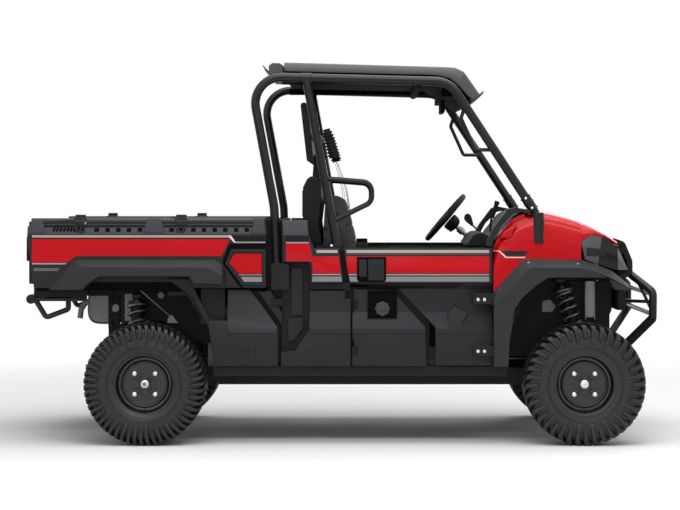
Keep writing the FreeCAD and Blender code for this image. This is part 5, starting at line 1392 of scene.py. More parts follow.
@dataclass
class Doors:
    """The two half doors: panel, bands, handle, hinge halves and bolts."""

    outline: Places = (
        (0.004, 1.051), (0.797, 1.051), (0.799, 0.424), (0.496, 0.424), (0.494, 0.63), (0.292, 0.836),
        (0.041, 0.857))
    wall: float = 0.016

    def build(self) -> None:
        """Makes both doors."""
        body = "door_{side}"
        plastic(DOOR_SIDE, body, thick=self.wall, bevel=0.0025).pair(
            "door_panel", Shape().skin(self.outline, side_reach, SIDE_CREASES), ["door_{side}"])
        # The handle pocket's near-black frame and field: painted shade in the recess.
        plastic(BLACK_PAINTED_SHADE, body, bevel=0.0015).pair("door_handle", self.handle())
        plastic(PLASTIC, body, bevel=0.0012).pair("door_paddle", self.paddle())
        plastic(DARK_PLASTIC, body, bevel=0.0015).pair("door_lining", self.lining())
        plastic(FACET_GREY, body, bevel=0.002).pair("door_facets", self.facets())
        bare(BRIGHT_STEEL, body, smooth=40.0).pair("door_bolts", self.bolts())
        steel(SATIN_BLACK, body, bevel=0.0012, smooth=40.0).pair("door_hinges", self.hinges())

    def lining(self) -> Shape:
        """The top rail and the inner frame that stiffens the door."""
        return Shape().blocks(((0.006, -0.742, 1.038), (0.795, -0.692, 1.0505)),
                              ((0.06, -0.706, 0.872), (0.79, -0.692, 0.9)),
                              ((0.505, -0.706, 0.44), (0.54, -0.692, 0.872)),
                              ((0.755, -0.706, 0.44), (0.79, -0.692, 0.872)))

    def handle(self) -> Shape:
        """The handle's pocket: a thin frame round a dark field, near-black as painted shade."""
        frame = np.array([(0.0758, 1.0023), (0.2307, 1.0023), (0.2307, 0.88), (0.219, 0.869),
                          (0.088, 0.869), (0.0758, 0.882)])
        inner = frame + (frame.mean(axis=0) - frame) * 0.075
        return Shape().framed(frame, inner, -0.7525, -0.744).prism(inner, -0.7468, -0.744)

    def paddle(self) -> Shape:
        """The handle's paddle on the left of the pocket and the slanted floor on its right."""
        left = [(0.084, 0.992), (0.128, 0.992), (0.128, 0.897), (0.084, 0.897)]
        shape = Shape().raised(left, [(0.088, 0.988), (0.122, 0.984), (0.122, 0.905), (0.088, 0.901)],
                               0.7466, 0.7515, 0.744)
        right = [(0.134, 0.994), (0.223, 0.994), (0.223, 0.886), (0.212, 0.877), (0.134, 0.877)]
        return shape.raised(right, [(0.15, 0.99), (0.22, 0.99), (0.22, 0.9), (0.196, 0.884), (0.18, 0.884)],
                            0.7464, 0.7505, 0.744)

    def facets(self) -> Shape:
        """The raised facet low on the door."""
        frame = np.array([(0.5605, 0.705), (0.599, 0.74), (0.67, 0.701), (0.614, 0.6195), (0.5605, 0.6195)])
        face = (frame - frame.mean(axis=0)) * 0.94 + frame.mean(axis=0)
        reach = float(side_reach(np.array(0.0), np.array(0.68)))
        return Shape().raised(frame, face, reach, 0.738, 0.7)

    def hinges(self) -> Shape:
        """The door's halves of its hinges: plates and barrels."""
        shape = Shape()
        for level, skin in zip(HINGE_LEVELS, (0.745, 0.712)):
            shape.block((0.697, -0.7665, level - 0.024), (0.797, -skin, level + 0.032))
            shape.tube([(*HINGE_LINE, level + 0.0005), (*HINGE_LINE, level + 0.03)], HINGE_BARREL, 16)
        return shape

    def bolts(self) -> Shape:
        """Two bright bolts on each hinge plate."""
        places = [(x, -0.7665, level + 0.0005) for level in HINGE_LEVELS for x in (0.721, 0.755)]
        return Shape().bolts(places, 0.009, (0.0025, 0.0086), (0.004, 0.005), steps=14)


@dataclass
class Bed:
    """Cargo bed: side walls with their livery, top tubes, caps, ribbed floor, tailgate and flares."""

    outer: float = 0.745
    inner: float = 0.664
    rail_z: float = 1.1895
    rail_y: float = 0.719
    holes: tuple[float, ...] = (-1.313, -1.2555, -1.198, -1.1414, -1.083, -0.914, -0.8636, -0.797, -0.7406,
                                -0.683, -0.6265, -0.569, -0.512)
    ribs: int = 11

    def build(self) -> None:
        """Makes the bed's pieces."""
        plastic(BED_SIDE, "bed", bevel=0.003).pair("bed_wall", self.wall(), ["bed_sides"])
        plastic(CAP_GREY, "bed", bevel=0.003).pair("bed_caps", self.caps())
        # The ledge in a lighter grey: painted light on its upward slope.
        plastic(PAINTED_LIT_GREY, "bed", bevel=0.003).pair("bed_ledge", self.ledge())
        plastic(PLASTIC, "bed", bevel=0.002).pair("bed_hexagon_frame", self.frame())
        plastic(FACET_GREY, "bed", bevel=0.003).pair("rear_flare_arch", self.flare(), ["rear_flares"])
        panel_paint(GLOSS_RED, "bed", bevel=0.0012).pair("bed_hexagon", self.hexagon())
        panel_paint(SILVER_TRIM, "bed", bevel=0.0008).pair("bed_hexagon_strip", self.strip())
        # Holes, louvres, strip and groove in near-black: painted shade.
        plastic(BLACK_PAINTED_SHADE, "bed").pair("bed_slots", self.slots())
        steel(SATIN_BLACK, "bed", smooth=45.0).pair("bed_top_tube", self.rails(), ["bed_rails"])
        steel(SATIN_BLACK, "bed", smooth=40.0, bevel=0.0015).pair("bed_hooks", self.hooks())
        plastic(DARK_PLASTIC, "bed", bevel=0.002).one("bed_floor_ribs", self.floor_ribs())
        bare(DULL_STEEL, "bed", smooth=40.0).pair("bed_pins", self.pins())
        panel_paint(TAILGATE_FACE, "tailgate", bevel=0.002).one("tailgate_panel", self.gate())
        dark = plastic(DARK_PLASTIC, "tailgate", bevel=0.0015)
        dark.one("tailgate_latch", self.latch())
        dark.one("tailgate_ends", self.gate_ends())

    def wall(self) -> Shape:
        """The side wall: the outer skin with its rear return, and the inner wall."""
        outline = np.array([
            (-1.684, 1.126), (-0.41, 1.126), (-0.41, 0.838), (-0.8, 0.838), (-0.823, 0.897), (-1.3, 0.897),
            (-1.347, 0.866), (-1.377, 0.838), (-1.648, 0.838), (-1.684, 1.082)])
        shape = Shape().prism(outline, -self.outer, -self.inner - 0.012)
        return shape.block((-1.684, -self.inner - 0.016, 0.866), (-0.41, -self.inner, 1.19))

    def ledge(self) -> Shape:
        """The sloped ledge over the wall's skin, in which the holes are."""
        outline = [(-self.outer, 1.12), (-self.outer, 1.128), (-0.727, 1.168), (-0.672, 1.168),
                   (-0.672, 1.12)]
        return Shape().prism(outline, -1.684, -0.41, axis=0)

    def caps(self) -> Shape:
        """Three moulded caps that hold the tube to the wall: trapezoids with sloped edges."""
        shape = Shape()
        for rear_low, rear, fore, fore_low in (
            (-1.6735, -1.66, -1.604, -1.583), (-1.066, -1.044, -0.97, -0.948),
            (-0.489, -0.473, -0.418, -0.412)):
            base = [(rear_low, 1.126), (fore_low, 1.126), (fore, 1.209), (rear, 1.209)]
            face = [(rear_low + 0.006, 1.132), (fore_low - 0.006, 1.132), (fore - 0.004, 1.18),
                    (rear + 0.004, 1.18)]
            shape.raised(base, face, 0.7452, 0.7525, 0.69)
            shape.block((rear, -0.7452, 1.168), (fore, -0.672, 1.2095))
        for low, high in ((-1.583, -1.066), (-0.948, -0.489)):
            shape.block((low, -0.7475, 1.1225), (high, -0.744, 1.1275))
        return shape

    def slots(self) -> Shape:
        """Square holes and louvres of the ledge, the strip over the floor's edge and the hexagon's groove,
        near-black as painted shade.
        """
        shape = Shape()
        for x in self.holes:
            hole = np.array([(-0.743, 1.1375), (-0.734, 1.1575), (-0.728, 1.1575), (-0.728, 1.1375)])
            shape.prism(hole, x - 0.012, x + 0.012, axis=0)
        for index in range(9):
            x = -1.55 + index * 0.0185
            bar = np.array([(x, 1.138), (x + 0.01, 1.138), (x + 0.018, 1.16), (x + 0.008, 1.16)])
            shape.prism(bar, -0.743, -0.73)
        shape.block((-1.646, -self.inner - 0.011, 0.82), (-0.41, -self.inner - 0.0015, 0.87))
        return shape.prism([
            (-0.64, 0.988), (-0.604, 1.074), (-0.411, 1.074), (-0.411, 1.045), (-0.595, 1.045),
            (-0.626, 0.968), (-0.53, 0.8385), (-0.545, 0.8385), (-0.64, 0.962)], -0.7462, -0.744)

    def frame(self) -> Shape:
        """The hexagon's raised frame and the triangle beside it."""
        outer = [(-0.626, 0.968), (-0.595, 1.045), (-0.411, 1.045), (-0.411, 0.852), (-0.533, 0.852)]
        inner = [(-0.613, 0.968), (-0.585, 1.0265), (-0.426, 1.0265), (-0.426, 0.864), (-0.527, 0.864)]
        shape = Shape().framed(outer, inner, -0.7535, -0.744)
        triangle = np.array([(-0.63, 0.955), (-0.63, 0.842), (-0.549, 0.842)])
        face = triangle + (triangle.mean(axis=0) - triangle) * 0.22
        return shape.raised(triangle, face, 0.744, 0.752, 0.735)

    def hexagon(self) -> Shape:
        """The red inset inside the frame."""
        outline = np.array([(-0.609, 0.971), (-0.58, 1.0216), (-0.43, 1.0216), (-0.43, 0.9125),
                            (-0.555, 0.9125)])
        face = outline + (outline.mean(axis=0) - outline) * 0.03
        return Shape().raised(outline, face, 0.744, 0.75, 0.735)

    def strip(self) -> Shape:
        """The silver strip and thin line under the red inset."""
        shape = Shape().prism([(-0.546, 0.897), (-0.43, 0.897), (-0.43, 0.87), (-0.526, 0.87)],
                              -0.749, -0.744)
        return shape.prism([(-0.556, 0.91), (-0.43, 0.91), (-0.43, 0.9045), (-0.552, 0.9045)],
                           -0.749, -0.744)

    def rails(self) -> Shape:
        """The round tube along the wall's top, the thin rod under it and a short slanted one on it."""
        shape = Shape()
        shape.tube([(-1.655, -self.rail_y, self.rail_z), (-0.418, -self.rail_y, self.rail_z)], 0.0205, 20)
        shape.tube([(-1.64, -0.73, 1.173), (-0.43, -0.73, 1.173)], 0.0085, 12)
        return shape.tube([(-1.59, -0.732, 1.19), (-1.4, -0.73, 1.201)], 0.0095, 12)

    def hooks(self) -> Shape:
        """Tie hooks clamped on the tube."""
        shape = Shape()
        for x in (-1.4015, -0.8636):
            shape.tube([(x - 0.032, -self.rail_y, self.rail_z), (x + 0.032, -self.rail_y, self.rail_z)],
                       0.0235, 20)
            shape.block((x - 0.034, -0.74, 1.19), (x + 0.034, -0.705, 1.212))
            shape.block((x - 0.026, -0.738, 1.21), (x + 0.03, -0.722, 1.229))
            loop = bent([(x - 0.022, -0.742, 1.17), (x - 0.022, -0.748, 1.14), (x + 0.022, -0.748, 1.14),
                         (x + 0.022, -0.742, 1.17)], 0.01, 5)
            shape.tube(loop, 0.0042, 8)
        return shape

    def flare(self) -> Shape:
        """The rear arch's flare: a bevel that rises to a flat face."""
        base = [(-1.571, 0.828), (-1.433, 0.99), (-0.681, 0.988), (-0.641, 0.962), (-0.641, 0.858),
                (-0.791, 0.862), (-0.816, 0.901), (-1.29, 0.901), (-1.347, 0.868), (-1.386, 0.828)]
        face = [(-1.5, 0.828), (-1.398, 0.952), (-0.712, 0.95), (-0.641, 0.908), (-0.641, 0.86),
                (-0.791, 0.864), (-0.816, 0.903), (-1.29, 0.903), (-1.347, 0.87), (-1.386, 0.829)]
        return Shape().raised(base, face, 0.746, 0.7985, 0.73)

    def floor_ribs(self) -> Shape:
        """Ribs along the bed's floor and up its front and side walls, and the floor's rear lip."""
        shape = Shape()
        for y in np.linspace(-0.56, 0.56, self.ribs):
            shape.block((-1.62, y - 0.022, 0.8625), (-0.48, y + 0.022, 0.871))
            shape.block((-0.412, y - 0.022, 0.88), (-0.405, y + 0.022, 1.18))
        for end in (-1.0, 1.0):
            for x in np.linspace(-1.5, -0.56, 6):
                low, high = sorted((end * 0.664, end * 0.657))
                shape.block((x - 0.025, low, 0.88), (x + 0.025, high, 1.16))
        shape.block((-1.656, -0.655, 0.826), (-1.6, 0.655, 0.8375))
        return shape

    def pins(self) -> Shape:
        """Bright pins beside the rear tie hook and in the wall's rear edge."""
        return Shape().bolts([(-1.372, -0.748, 1.182), (-1.14, -0.748, 0.915)], 0.007, (0.004, 0.0064),
                             (0.006, 0.003), 0.004)

    def gate(self) -> Shape:
        """The tailgate's pressed field and frame on its outer face."""
        return Shape().blocks(((-1.6855, -0.56, 0.935), (-1.6835, 0.56, 1.12)),
                              ((-1.6865, -0.61, 0.9), (-1.6835, 0.61, 0.912)),
                              ((-1.6865, -0.61, 1.14), (-1.6835, 0.61, 1.152)))

    def gate_ends(self) -> Shape:
        """Dark caps over the tailgate's two ends."""
        shape = Shape()
        for end in (-1.0, 1.0):
            low, high = sorted((end * 0.658, end * 0.62))
            shape.block((-1.6862, low, 0.856), (-1.647, high, 1.1905))
        return shape

    def latch(self) -> Shape:
        """The latch's pocket and paddle in the middle of the tailgate."""
        return Shape().blocks(((-1.688, -0.11, 1.12), (-1.6835, 0.11, 1.176)),
                              ((-1.694, -0.08, 1.142), (-1.687, 0.08, 1.162)))


@dataclass
class RearEnd:
    """What shows behind and round the rear wheels: muffler, frame plates, stays and tail lamps."""

    can_x: tuple[float, float] = (-1.42, -1.205)
    can_z: tuple[float, float] = (0.618, 0.821)
    can_squareness: float = 0.55
    hole_levels: tuple[float, ...] = (0.849, 0.778, 0.707, 0.636)
    hole_radius: float = 0.026
    plate_x: float = -1.25

    def build(self) -> None:
        """Makes the rear end's pieces."""
        cast(MUFFLER_GREY, bevel=0.003, smooth=45.0).one("muffler_can", self.can(), ["muffler"])
        frame = steel(CHASSIS_BLACK, bevel=0.0015)
        frame.pair("frame_plate", self.plate())
        frame.pair("splash_sheets", self.sheets())
        cast(MUFFLER_GREY, smooth=50.0).pair("bed_stay_rod", self.rod())
        cast(CAST, bevel=0.002).pair("shock_tower_plate", self.bright_plate())
        cast(MUFFLER_GREY).pair("hole_faces", self.hole_faces())
        Placing("bed", "lamp_lens", TAIL_RED, bevel=0.003).pair("tail_lamps", self.tail_lamps())
        steel(SATIN_BLACK, "bed", smooth=50.0).pair("rear_loop", self.loop())
        steel(CHASSIS_BLACK, "bed", bevel=0.0015).pair("rear_bar_rail", self.rail())
        plastic(DARK_PLASTIC, smooth=40.0).one("sill_bolts", self.sill_bolts())

    def can(self) -> Shape:
        """The muffler: a rounded can along Y with rolled ends, bands and a bent tailpipe."""
        (x0, x1), (z0, z1) = self.can_x, self.can_z
        middle = np.array([(x0 + x1) / 2.0, (z0 + z1) / 2.0])
        half = np.array([(x1 - x0) / 2.0, (z1 - z0) / 2.0])
        spokes = np.stack([np.cos(turns(48)), np.sin(turns(48))], axis=1)
        ring = np.sign(spokes) * np.abs(spokes) ** self.can_squareness
        stations = [
            (-0.292, 0.9), (-0.298, 0.97), (-0.292, 1.0), (-0.27, 1.0), (-0.266, 0.975), (-0.12, 0.975),
            (-0.116, 1.0), (-0.1, 1.0), (-0.096, 0.975), (0.096, 0.975), (0.1, 1.0), (0.116, 1.0),
            (0.12, 0.975), (0.266, 0.975), (0.27, 1.0), (0.292, 1.0), (0.298, 0.97), (0.292, 0.9)]
        surface = np.array([np.insert(middle + ring * half * share, 1, y, axis=1) for y, share in stations])
        shape = Shape().grid(surface, around=True).polygon(surface[0]).polygon(surface[-1][::-1])
        pipe = bent([(-1.39, -0.272, 0.742), (-1.432, -0.276, 0.74), (-1.458, -0.278, 0.7),
                     (-1.464, -0.278, 0.65)], 0.024, 7)
        return shape.tube(pipe, 0.016, 18)

    def plate(self) -> Shape:
        """The drilled plate between the frame and the spring: a slab with round holes as open rings."""
        shape = Shape()
        turn = turns(24) + np.pi / 4 + np.pi
        spokes = np.stack([np.cos(turn), np.sin(turn)], axis=1)
        for level in self.hole_levels:
            inner = spokes * self.hole_radius + (self.plate_x, level)
            outer = np.clip(spokes * 0.12, (-0.046, -0.034), (0.046, 0.034)) + (self.plate_x, level)
            surface = np.array([np.insert(ring, 1, y, axis=1) for ring, y in (
                (outer, -0.372), (inner, -0.372), (inner, -0.366), (outer, -0.366))])
            shape.grid(surface, around=True, along=True)
        return shape

    def hole_faces(self) -> Shape:
        """Pale parts seen through the plate's holes and beside the front spring."""
        shape = Shape()
        disc = [(0.0, 0.022), (0.0, 0.0006), (0.004, 0.0006), (0.004, 0.022)]
        for x, z in ((-1.258, 0.711), (-1.006, 0.781)):
            shape.turned([(across, radius * (0.8 if x > -1.1 else 1.0)) for across, radius in disc],
                         (x, -0.368, z), 20)
        shape.block((-1.214, -0.371, 0.64), (-1.16, -0.367, 0.79))
        bracket = [(1.095, 0.69), (1.15, 0.69), (1.172, 0.72), (1.14, 0.757), (1.1, 0.75)]
        return shape.prism(bracket, -0.371, -0.366)

    def sheets(self) -> Shape:
        """Thin splash sheets on the frame's outer face, behind the springs."""
        shape = Shape()
        shape.prism([(-1.19, 0.8), (-0.715, 0.8), (-0.7, 0.7), (-0.72, 0.52), (-0.79, 0.52), (-1.0, 0.64),
                     (-1.19, 0.64)], -0.3665, -0.3625)
        shape.prism([(0.905, 0.862), (1.48, 0.862), (1.48, 0.7), (1.43, 0.6), (1.08, 0.52), (1.06, 0.448),
                     (0.905, 0.448)], -0.3665, -0.3625)
        return shape

    def rod(self) -> Shape:
        """The thin stay from the bed's frame down to its bracket on the guard."""
        shape = Shape()
        shape.tube([(-1.112, -0.56, 0.83), (-0.932, -0.56, 0.67)], 0.0034, 10)
        bracket = [(-0.952, 0.64), (-0.894, 0.64), (-0.929, 0.685), (-0.949, 0.67)]
        return shape.prism(bracket, -0.564, -0.56)

    def bright_plate(self) -> Shape:
        """The bare metal plate in the front arch."""
        return Shape().blocks(((1.334, -0.404, 0.661), (1.378, -0.396, 0.862)),
                              ((1.328, -0.406, 0.65), (1.334, -0.37, 0.862)),
                              ((1.378, -0.406, 0.65), (1.384, -0.37, 0.862)))

    def loop(self) -> Shape:
        """A sleeve over the rear bar's round loop, and the bar's end cap."""
        path = bent([(-1.661, -0.62, 0.773), (-1.601, -0.62, 0.673), (-1.481, -0.62, 0.718),
                     (-1.481, -0.62, 0.773)], 0.019, 6)
        shape = Shape().tube(path, 0.0144, 18)
        return shape.tube([(-1.68, -0.6425, 0.773), (-1.68, -0.6, 0.773)], 0.0256, 22)

    def rail(self) -> Shape:
        """The dark rail between the bed's floor and the rear bar's arm."""
        outline = np.array([(-1.665, 0.784), (-1.47, 0.784), (-1.43, 0.769), (-1.402, 0.764),
                            (-1.385, 0.783), (-1.385, 0.8375), (-1.665, 0.8375)])
        return Shape().prism(outline, -0.634, -0.606)

    def sill_bolts(self) -> Shape:
        """Bolts along the sills."""
        shape = Shape().bolts([(x, -0.6985, 0.3825) for x in (-0.594, -0.302, -0.008, 0.392, 0.767)],
                              0.009, (0.003, 0.0084), (0.004, 0.004))
        return shape.joined(shape.mirrored())

    def tail_lamps(self) -> Shape:
        """Tail lamps on the bed's rear corners."""
        return Shape().block((-1.689, -0.735, 0.98), (-1.6835, -0.672, 1.11))


@dataclass
class Roof:
    """The roof: a moulded tray with skirts, a visor at the front, a lip at the rear and a dark lining."""

    half: float = 0.648
    top: Places = (
        (-0.316, 2.046), (-0.25, 2.0448), (0.46, 2.0245), (0.56, 2.0215), (0.604, 2.019), (0.648, 1.998),
        (0.682, 1.95), (0.731, 1.88))
    skirt: Places = (
        (-0.316, 1.999), (-0.25, 1.997), (0.44, 1.98), (0.513, 1.977), (0.578, 1.96), (0.624, 1.921),
        (0.67, 1.869), (0.702, 1.8425))

    def build(self) -> None:
        """Makes the roof's pieces."""
        tray = Placing("chassis", "roof_plastic", ROOF_PLASTIC, smooth=32.0)
        tray.one("roof_tray", self.tray(), ["roof"], thick=0.006, bevel=0.002)
        tray.one("roof_lips", self.lips(), bevel=0.0025)
        # The lining under the roof: its own black darkened further as painted shade.
        plastic(BLACK_PAINTED_SHADE, bevel=0.002).one("roof_lining", self.lining())
        bare(DULL_STEEL, smooth=40.0).one("roof_bolts", self.bolts())

    def tray(self) -> Shape:
        """The tray: at each station along X a section from skirt to skirt over a crown with six ribs."""
        tops, skirts = np.array(self.top), np.array(self.skirt)
        share = np.concatenate([[0.0, 0.03], np.linspace(0.06, 1.0, 30)])
        steps = np.linspace(0.0, 1.0, len(tops))
        rounds = np.linspace(-1.0, 1.0, 73)
        across = rounds * (self.half - 0.022)
        crown = 0.003 * (1.0 - rounds ** 2)
        rib = 0.005 * np.clip(np.cos(rounds * np.pi * 6.0) * 3.0 - 1.0, -2.0, 0.0) * (np.abs(rounds) < 0.92)
        grid = []
        for part in share:
            head = np.array([np.interp(part, steps, tops[:, axis]) for axis in (0, 1)])
            hem = np.array([np.interp(part, steps, skirts[:, axis]) for axis in (0, 1)])
            fade = np.clip(min(part / 0.06, (1.0 - part) / 0.14), 0.0, 1.0)
            lift = crown + rib * fade
            roof = np.stack([np.full(73, head[0]), across, head[1] - 0.004 + lift], axis=1)
            low = head * 0.12 + hem * 0.88
            edges = [
                [(hem[0], y, hem[1]), (low[0], y, low[1]), (head[0], y * 0.996, head[1] - 0.016),
                 (head[0], y * 0.988, head[1] - 0.007)]
                for y in (-self.half, self.half)
            ]
            grid.append(np.concatenate([edges[0], roof, np.array(edges[1])[::-1]]))
        return Shape().grid(np.array(grid))

    def lips(self) -> Shape:
        """The rear lip behind the tray and the small upturned edges at both ends."""
        shape = Shape()
        lip = [(-0.4, 1.998), (-0.402, 2.032), (-0.382, 2.048), (-0.342, 2.047), (-0.322, 2.034),
               (-0.322, 1.994)]
        shape.prism(lip, -0.6, 0.6)
        hook = [(-0.396, 2.0), (-0.438, 2.043), (-0.436, 2.032), (-0.427, 2.021), (-0.426, 2.012),
                (-0.402, 1.993)]
        shape.prism(hook, -0.56, 0.56)
        tip = [(0.731, 1.878), (0.742, 1.882), (0.758, 1.898), (0.756, 1.882), (0.74, 1.864),
               (0.712, 1.839), (0.702, 1.843)]
        return shape.prism(tip, -0.64, 0.64)

    def lining(self) -> Shape:
        """The frame and lining under the tray, with the side rails' dark edge, near-black as their own black
        with painted shade.
        """
        shape = Shape()
        plate = [(-0.312, 1.966), (0.47, 1.95), (0.56, 1.915), (0.65, 1.826), (0.688, 1.842), (0.6, 1.96),
                 (0.52, 1.998), (-0.312, 2.022)]
        shape.prism(plate, -0.632, 0.632)
        for y in (-0.59, 0.59):
            shape.block((-0.33, y - 0.022, 1.934), (0.48, y + 0.022, 1.972))
        shape.block((0.535, -0.56, 1.868), (0.628, 0.56, 1.915))
        shape.block((0.545, -0.16, 1.8), (0.568, 0.16, 1.872))
        return shape

    def bolts(self) -> Shape:
        """Bolt heads along the lining."""
        shape = Shape().bolts([(x, -0.613, 1.95) for x in (-0.27, -0.165, 0.41)], 0.0075, (0.004, 0.0068),
                              (0.0055, 0.003))
        return shape.joined(shape.mirrored())


@dataclass
class Cab:
    """Rear panel, head guard, belts, dash, steering and levers."""

    wheel_place: Point = (0.592, 0.35, 1.205)
    wheel_axis: tuple[float, float] = (-0.7604, 0.6494)
    wheel_radius: float = 0.16
    grip: float = 0.015

    def build(self) -> None:
        """Makes the cab's pieces."""
        dark = plastic(DARK_PLASTIC, bevel=0.003)
        dark.one("rear_panel_shell", self.panel(), ["rear_panel"], bevel=0.006)
        dark.one("head_guard", self.head_guard())
        dark.one("column_shroud", self.shroud(), smooth=40.0, bevel=0.0015)
        dark.one("dash_hood", self.dash_hood(), bevel=0.008)
        dark.one("side_pads", self.side_pads(), bevel=0.006)
        plastic(WEBBING).pair("belt_straps", self.straps())
        plastic(DARK_PLASTIC, smooth=50.0).pair("belt_bellows", self.bellows())
        bare(DULL_STEEL, smooth=40.0).one("column_joint", self.joint(), ["steering_column"])
        bare(BRIGHT_STEEL, smooth=40.0).one("belt_buckles", self.buckles())
        plastic(GRIP, "steering_wheel", smooth=50.0).one("steering_rim", self.rim(), ["steering_wheel"])
        plastic(DARK_PLASTIC, smooth=45.0).one("lever_set", self.levers(), ["levers"])
        bare(DULL_STEEL, bevel=0.0012).one("pedal_pads", self.pads())

    def raked(self, shape: Shape) -> Shape:
        """Turns a shape made about +Z on to the steering axis and moves it there."""
        lean, rise = self.wheel_axis
        turn = np.array([(rise, 0.0, lean), (0.0, 1.0, 0.0), (-lean, 0.0, rise)])
        return shape.moved(turn, self.wheel_place)

    def rim(self) -> Shape:
        """The steering wheel: a grooved rim, three spokes that curve down to the boss, and the boss."""
        turn, around = turns(120), turns(16)
        grooves = 1.0 - 0.055 * (np.cos(turn * 24.0)[:, None] > 0.9) * (np.cos(around) < 0.3)[None, :]
        width = self.grip * grooves
        reach = self.wheel_radius + width * np.cos(around)[None, :]
        surface = np.stack([np.cos(turn)[:, None] * reach, np.sin(turn)[:, None] * reach,
                            width * np.sin(around)[None, :]], axis=-1)
        shape = Shape().grid(surface[:, ::-1], around=True, along=True)
        for angle in (90.0, 210.0, 330.0):
            out = math.radians(angle)
            direction = np.array([math.cos(out), math.sin(out), 0.0])
            path = flowing([direction * reach_out + (0.0, 0.0, height) for reach_out, height in (
                (0.02, -0.014), (0.06, -0.012), (0.11, -0.005), (0.156, 0.0))], 4)
            shape.sweep(flat_bar(0.015, 0.007), path)
        boss = [(0.01, 0.0004), (0.01, 0.034), (0.006, 0.044), (-0.005, 0.05), (-0.021, 0.046),
                (-0.021, 0.0004)]
        shape.turned(boss, (0.0, 0.0, 0.0), 40, axis=2)
        return self.raked(shape)

    def shroud(self) -> Shape:
        """The shroud under the steering wheel, round the column's head."""
        outline = [(-0.027, 0.0004), (-0.027, 0.044), (-0.034, 0.049), (-0.058, 0.048), (-0.076, 0.04),
                   (-0.086, 0.026), (-0.086, 0.0004)]
        shape = Shape().turned(outline, (0.0, 0.0, 0.0), 32, axis=2)
        shape.block((-0.045, -0.028, -0.08), (-0.01, 0.028, -0.04))
        return self.raked(shape)

    def joint(self) -> Shape:
        """The steering column: bare tube, universal joint and clamp."""
        shape = Shape()
        shape.tube([(0.0, 0.0, -0.08), (0.0, 0.0, -0.33)], 0.0135, 18)
        shape.tube([(0.0, 0.0, -0.1), (0.0, 0.0, -0.135)], 0.0205, 18)
        shape.block((-0.022, -0.008, -0.2), (0.022, 0.008, -0.16))
        shape.block((-0.008, -0.022, -0.232), (0.008, 0.022, -0.19))
        shape.tube([(-0.026, 0.0, -0.18), (0.026, 0.0, -0.18)], 0.006, 12)
        shape.tube([(0.0, 0.0, -0.238), (0.0, 0.0, -0.34)], 0.02, 18)
        return self.raked(shape)

    def levers(self) -> Shape:
        """Gear lever with its paddle knob, hand brake with a grip, and the pedal arms."""
        shape = Shape()
        shape.tube(flowing([(0.728, 0.0, 1.166), (0.776, 0.0, 1.124), (0.835, 0.0, 1.075)], 5), 0.0052, 12)
        knob = [(0.683, 1.205), (0.689, 1.223), (0.704, 1.231), (0.72, 1.223), (0.728, 1.202),
                (0.734, 1.178), (0.738, 1.16), (0.726, 1.158), (0.704, 1.176), (0.688, 1.19)]
        shape.prism(knob, -0.012, 0.012)
        shape.tube(flowing([(0.838, 0.1, 1.12), (0.842, 0.1, 1.18), (0.85, 0.1, 1.22)], 5), 0.0062, 12)
        shape.tube([(0.848, 0.1, 1.205), (0.862, 0.1, 1.245), (0.878, 0.1, 1.292)], 0.0125, 16)
        shape.tube([(0.874, 0.1, 1.282), (0.88, 0.1, 1.3)], 0.0145, 16)
        for y in (0.414, 0.286):
            arm = flowing([(0.918, y, 0.748), (0.865, y, 0.7), (0.792, y, 0.612), (0.748, y, 0.572)], 5)
            shape.tube(arm, 0.0078, 12)
            shape.block((0.893, y - 0.02, 0.73), (0.932, y + 0.02, 0.768))
        return shape

    def pads(self) -> Shape:
        """Ribbed pads of the two pedals."""
        shape = Shape()
        for y in (0.414, 0.286):
            shape.prism([(0.724, 0.548), (0.73, 0.542), (0.762, 0.6), (0.756, 0.606)], y - 0.026, y + 0.026)
            for share in np.linspace(0.12, 0.88, 5):
                x, z = np.array((0.724, 0.548)) * (1 - share) + np.array((0.756, 0.606)) * share
                shape.tube([(x - 0.001, y - 0.023, z), (x - 0.001, y + 0.023, z)], 0.0018, 8)
        return shape

    def panel(self) -> Shape:
        """The moulded panel behind the seat: a folded plate with a shelf and side pads."""
        shape = Shape()
        plate = [(-0.218, 1.2), (-0.218, 1.375), (-0.196, 1.42), (-0.176, 1.436), (-0.12, 1.428),
                 (-0.118, 1.29), (-0.132, 1.18), (-0.112, 1.066), (-0.186, 1.066), (-0.196, 1.13)]
        shape.prism(plate, -0.556, 0.556)
        shape.block((-0.222, -0.53, 1.29), (-0.15, 0.53, 1.31))
        for y in (-0.37, 0.0, 0.37):
            shape.block((-0.2235, y - 0.12, 1.215), (-0.214, y + 0.12, 1.36))
        return shape

    def head_guard(self) -> Shape:
        """The guard plate behind the heads: a leaning plate on two brackets, with rounded ends."""
        shape = Shape()
        plate = [(-0.232, 1.822), (-0.226, 1.836), (-0.208, 1.838), (-0.196, 1.83), (-0.186, 1.77),
                 (-0.162, 1.528), (-0.168, 1.518), (-0.184, 1.514), (-0.198, 1.522)]
        shape.prism(plate, -0.52, 0.52)
        for y in (-0.4, 0.4):
            shape.tube(bent([(-0.2, y, 1.56), (-0.15, y, 1.54), (-0.16, y, 1.4)], 0.02, 5), 0.012, 12)
            shape.tube([(-0.225, y, 1.79), (-0.14, y, 1.775)], 0.009, 10)
        shape.tube([(-0.14, -0.68, 1.66), (-0.14, 0.68, 1.66)], 0.018, 20)
        return shape

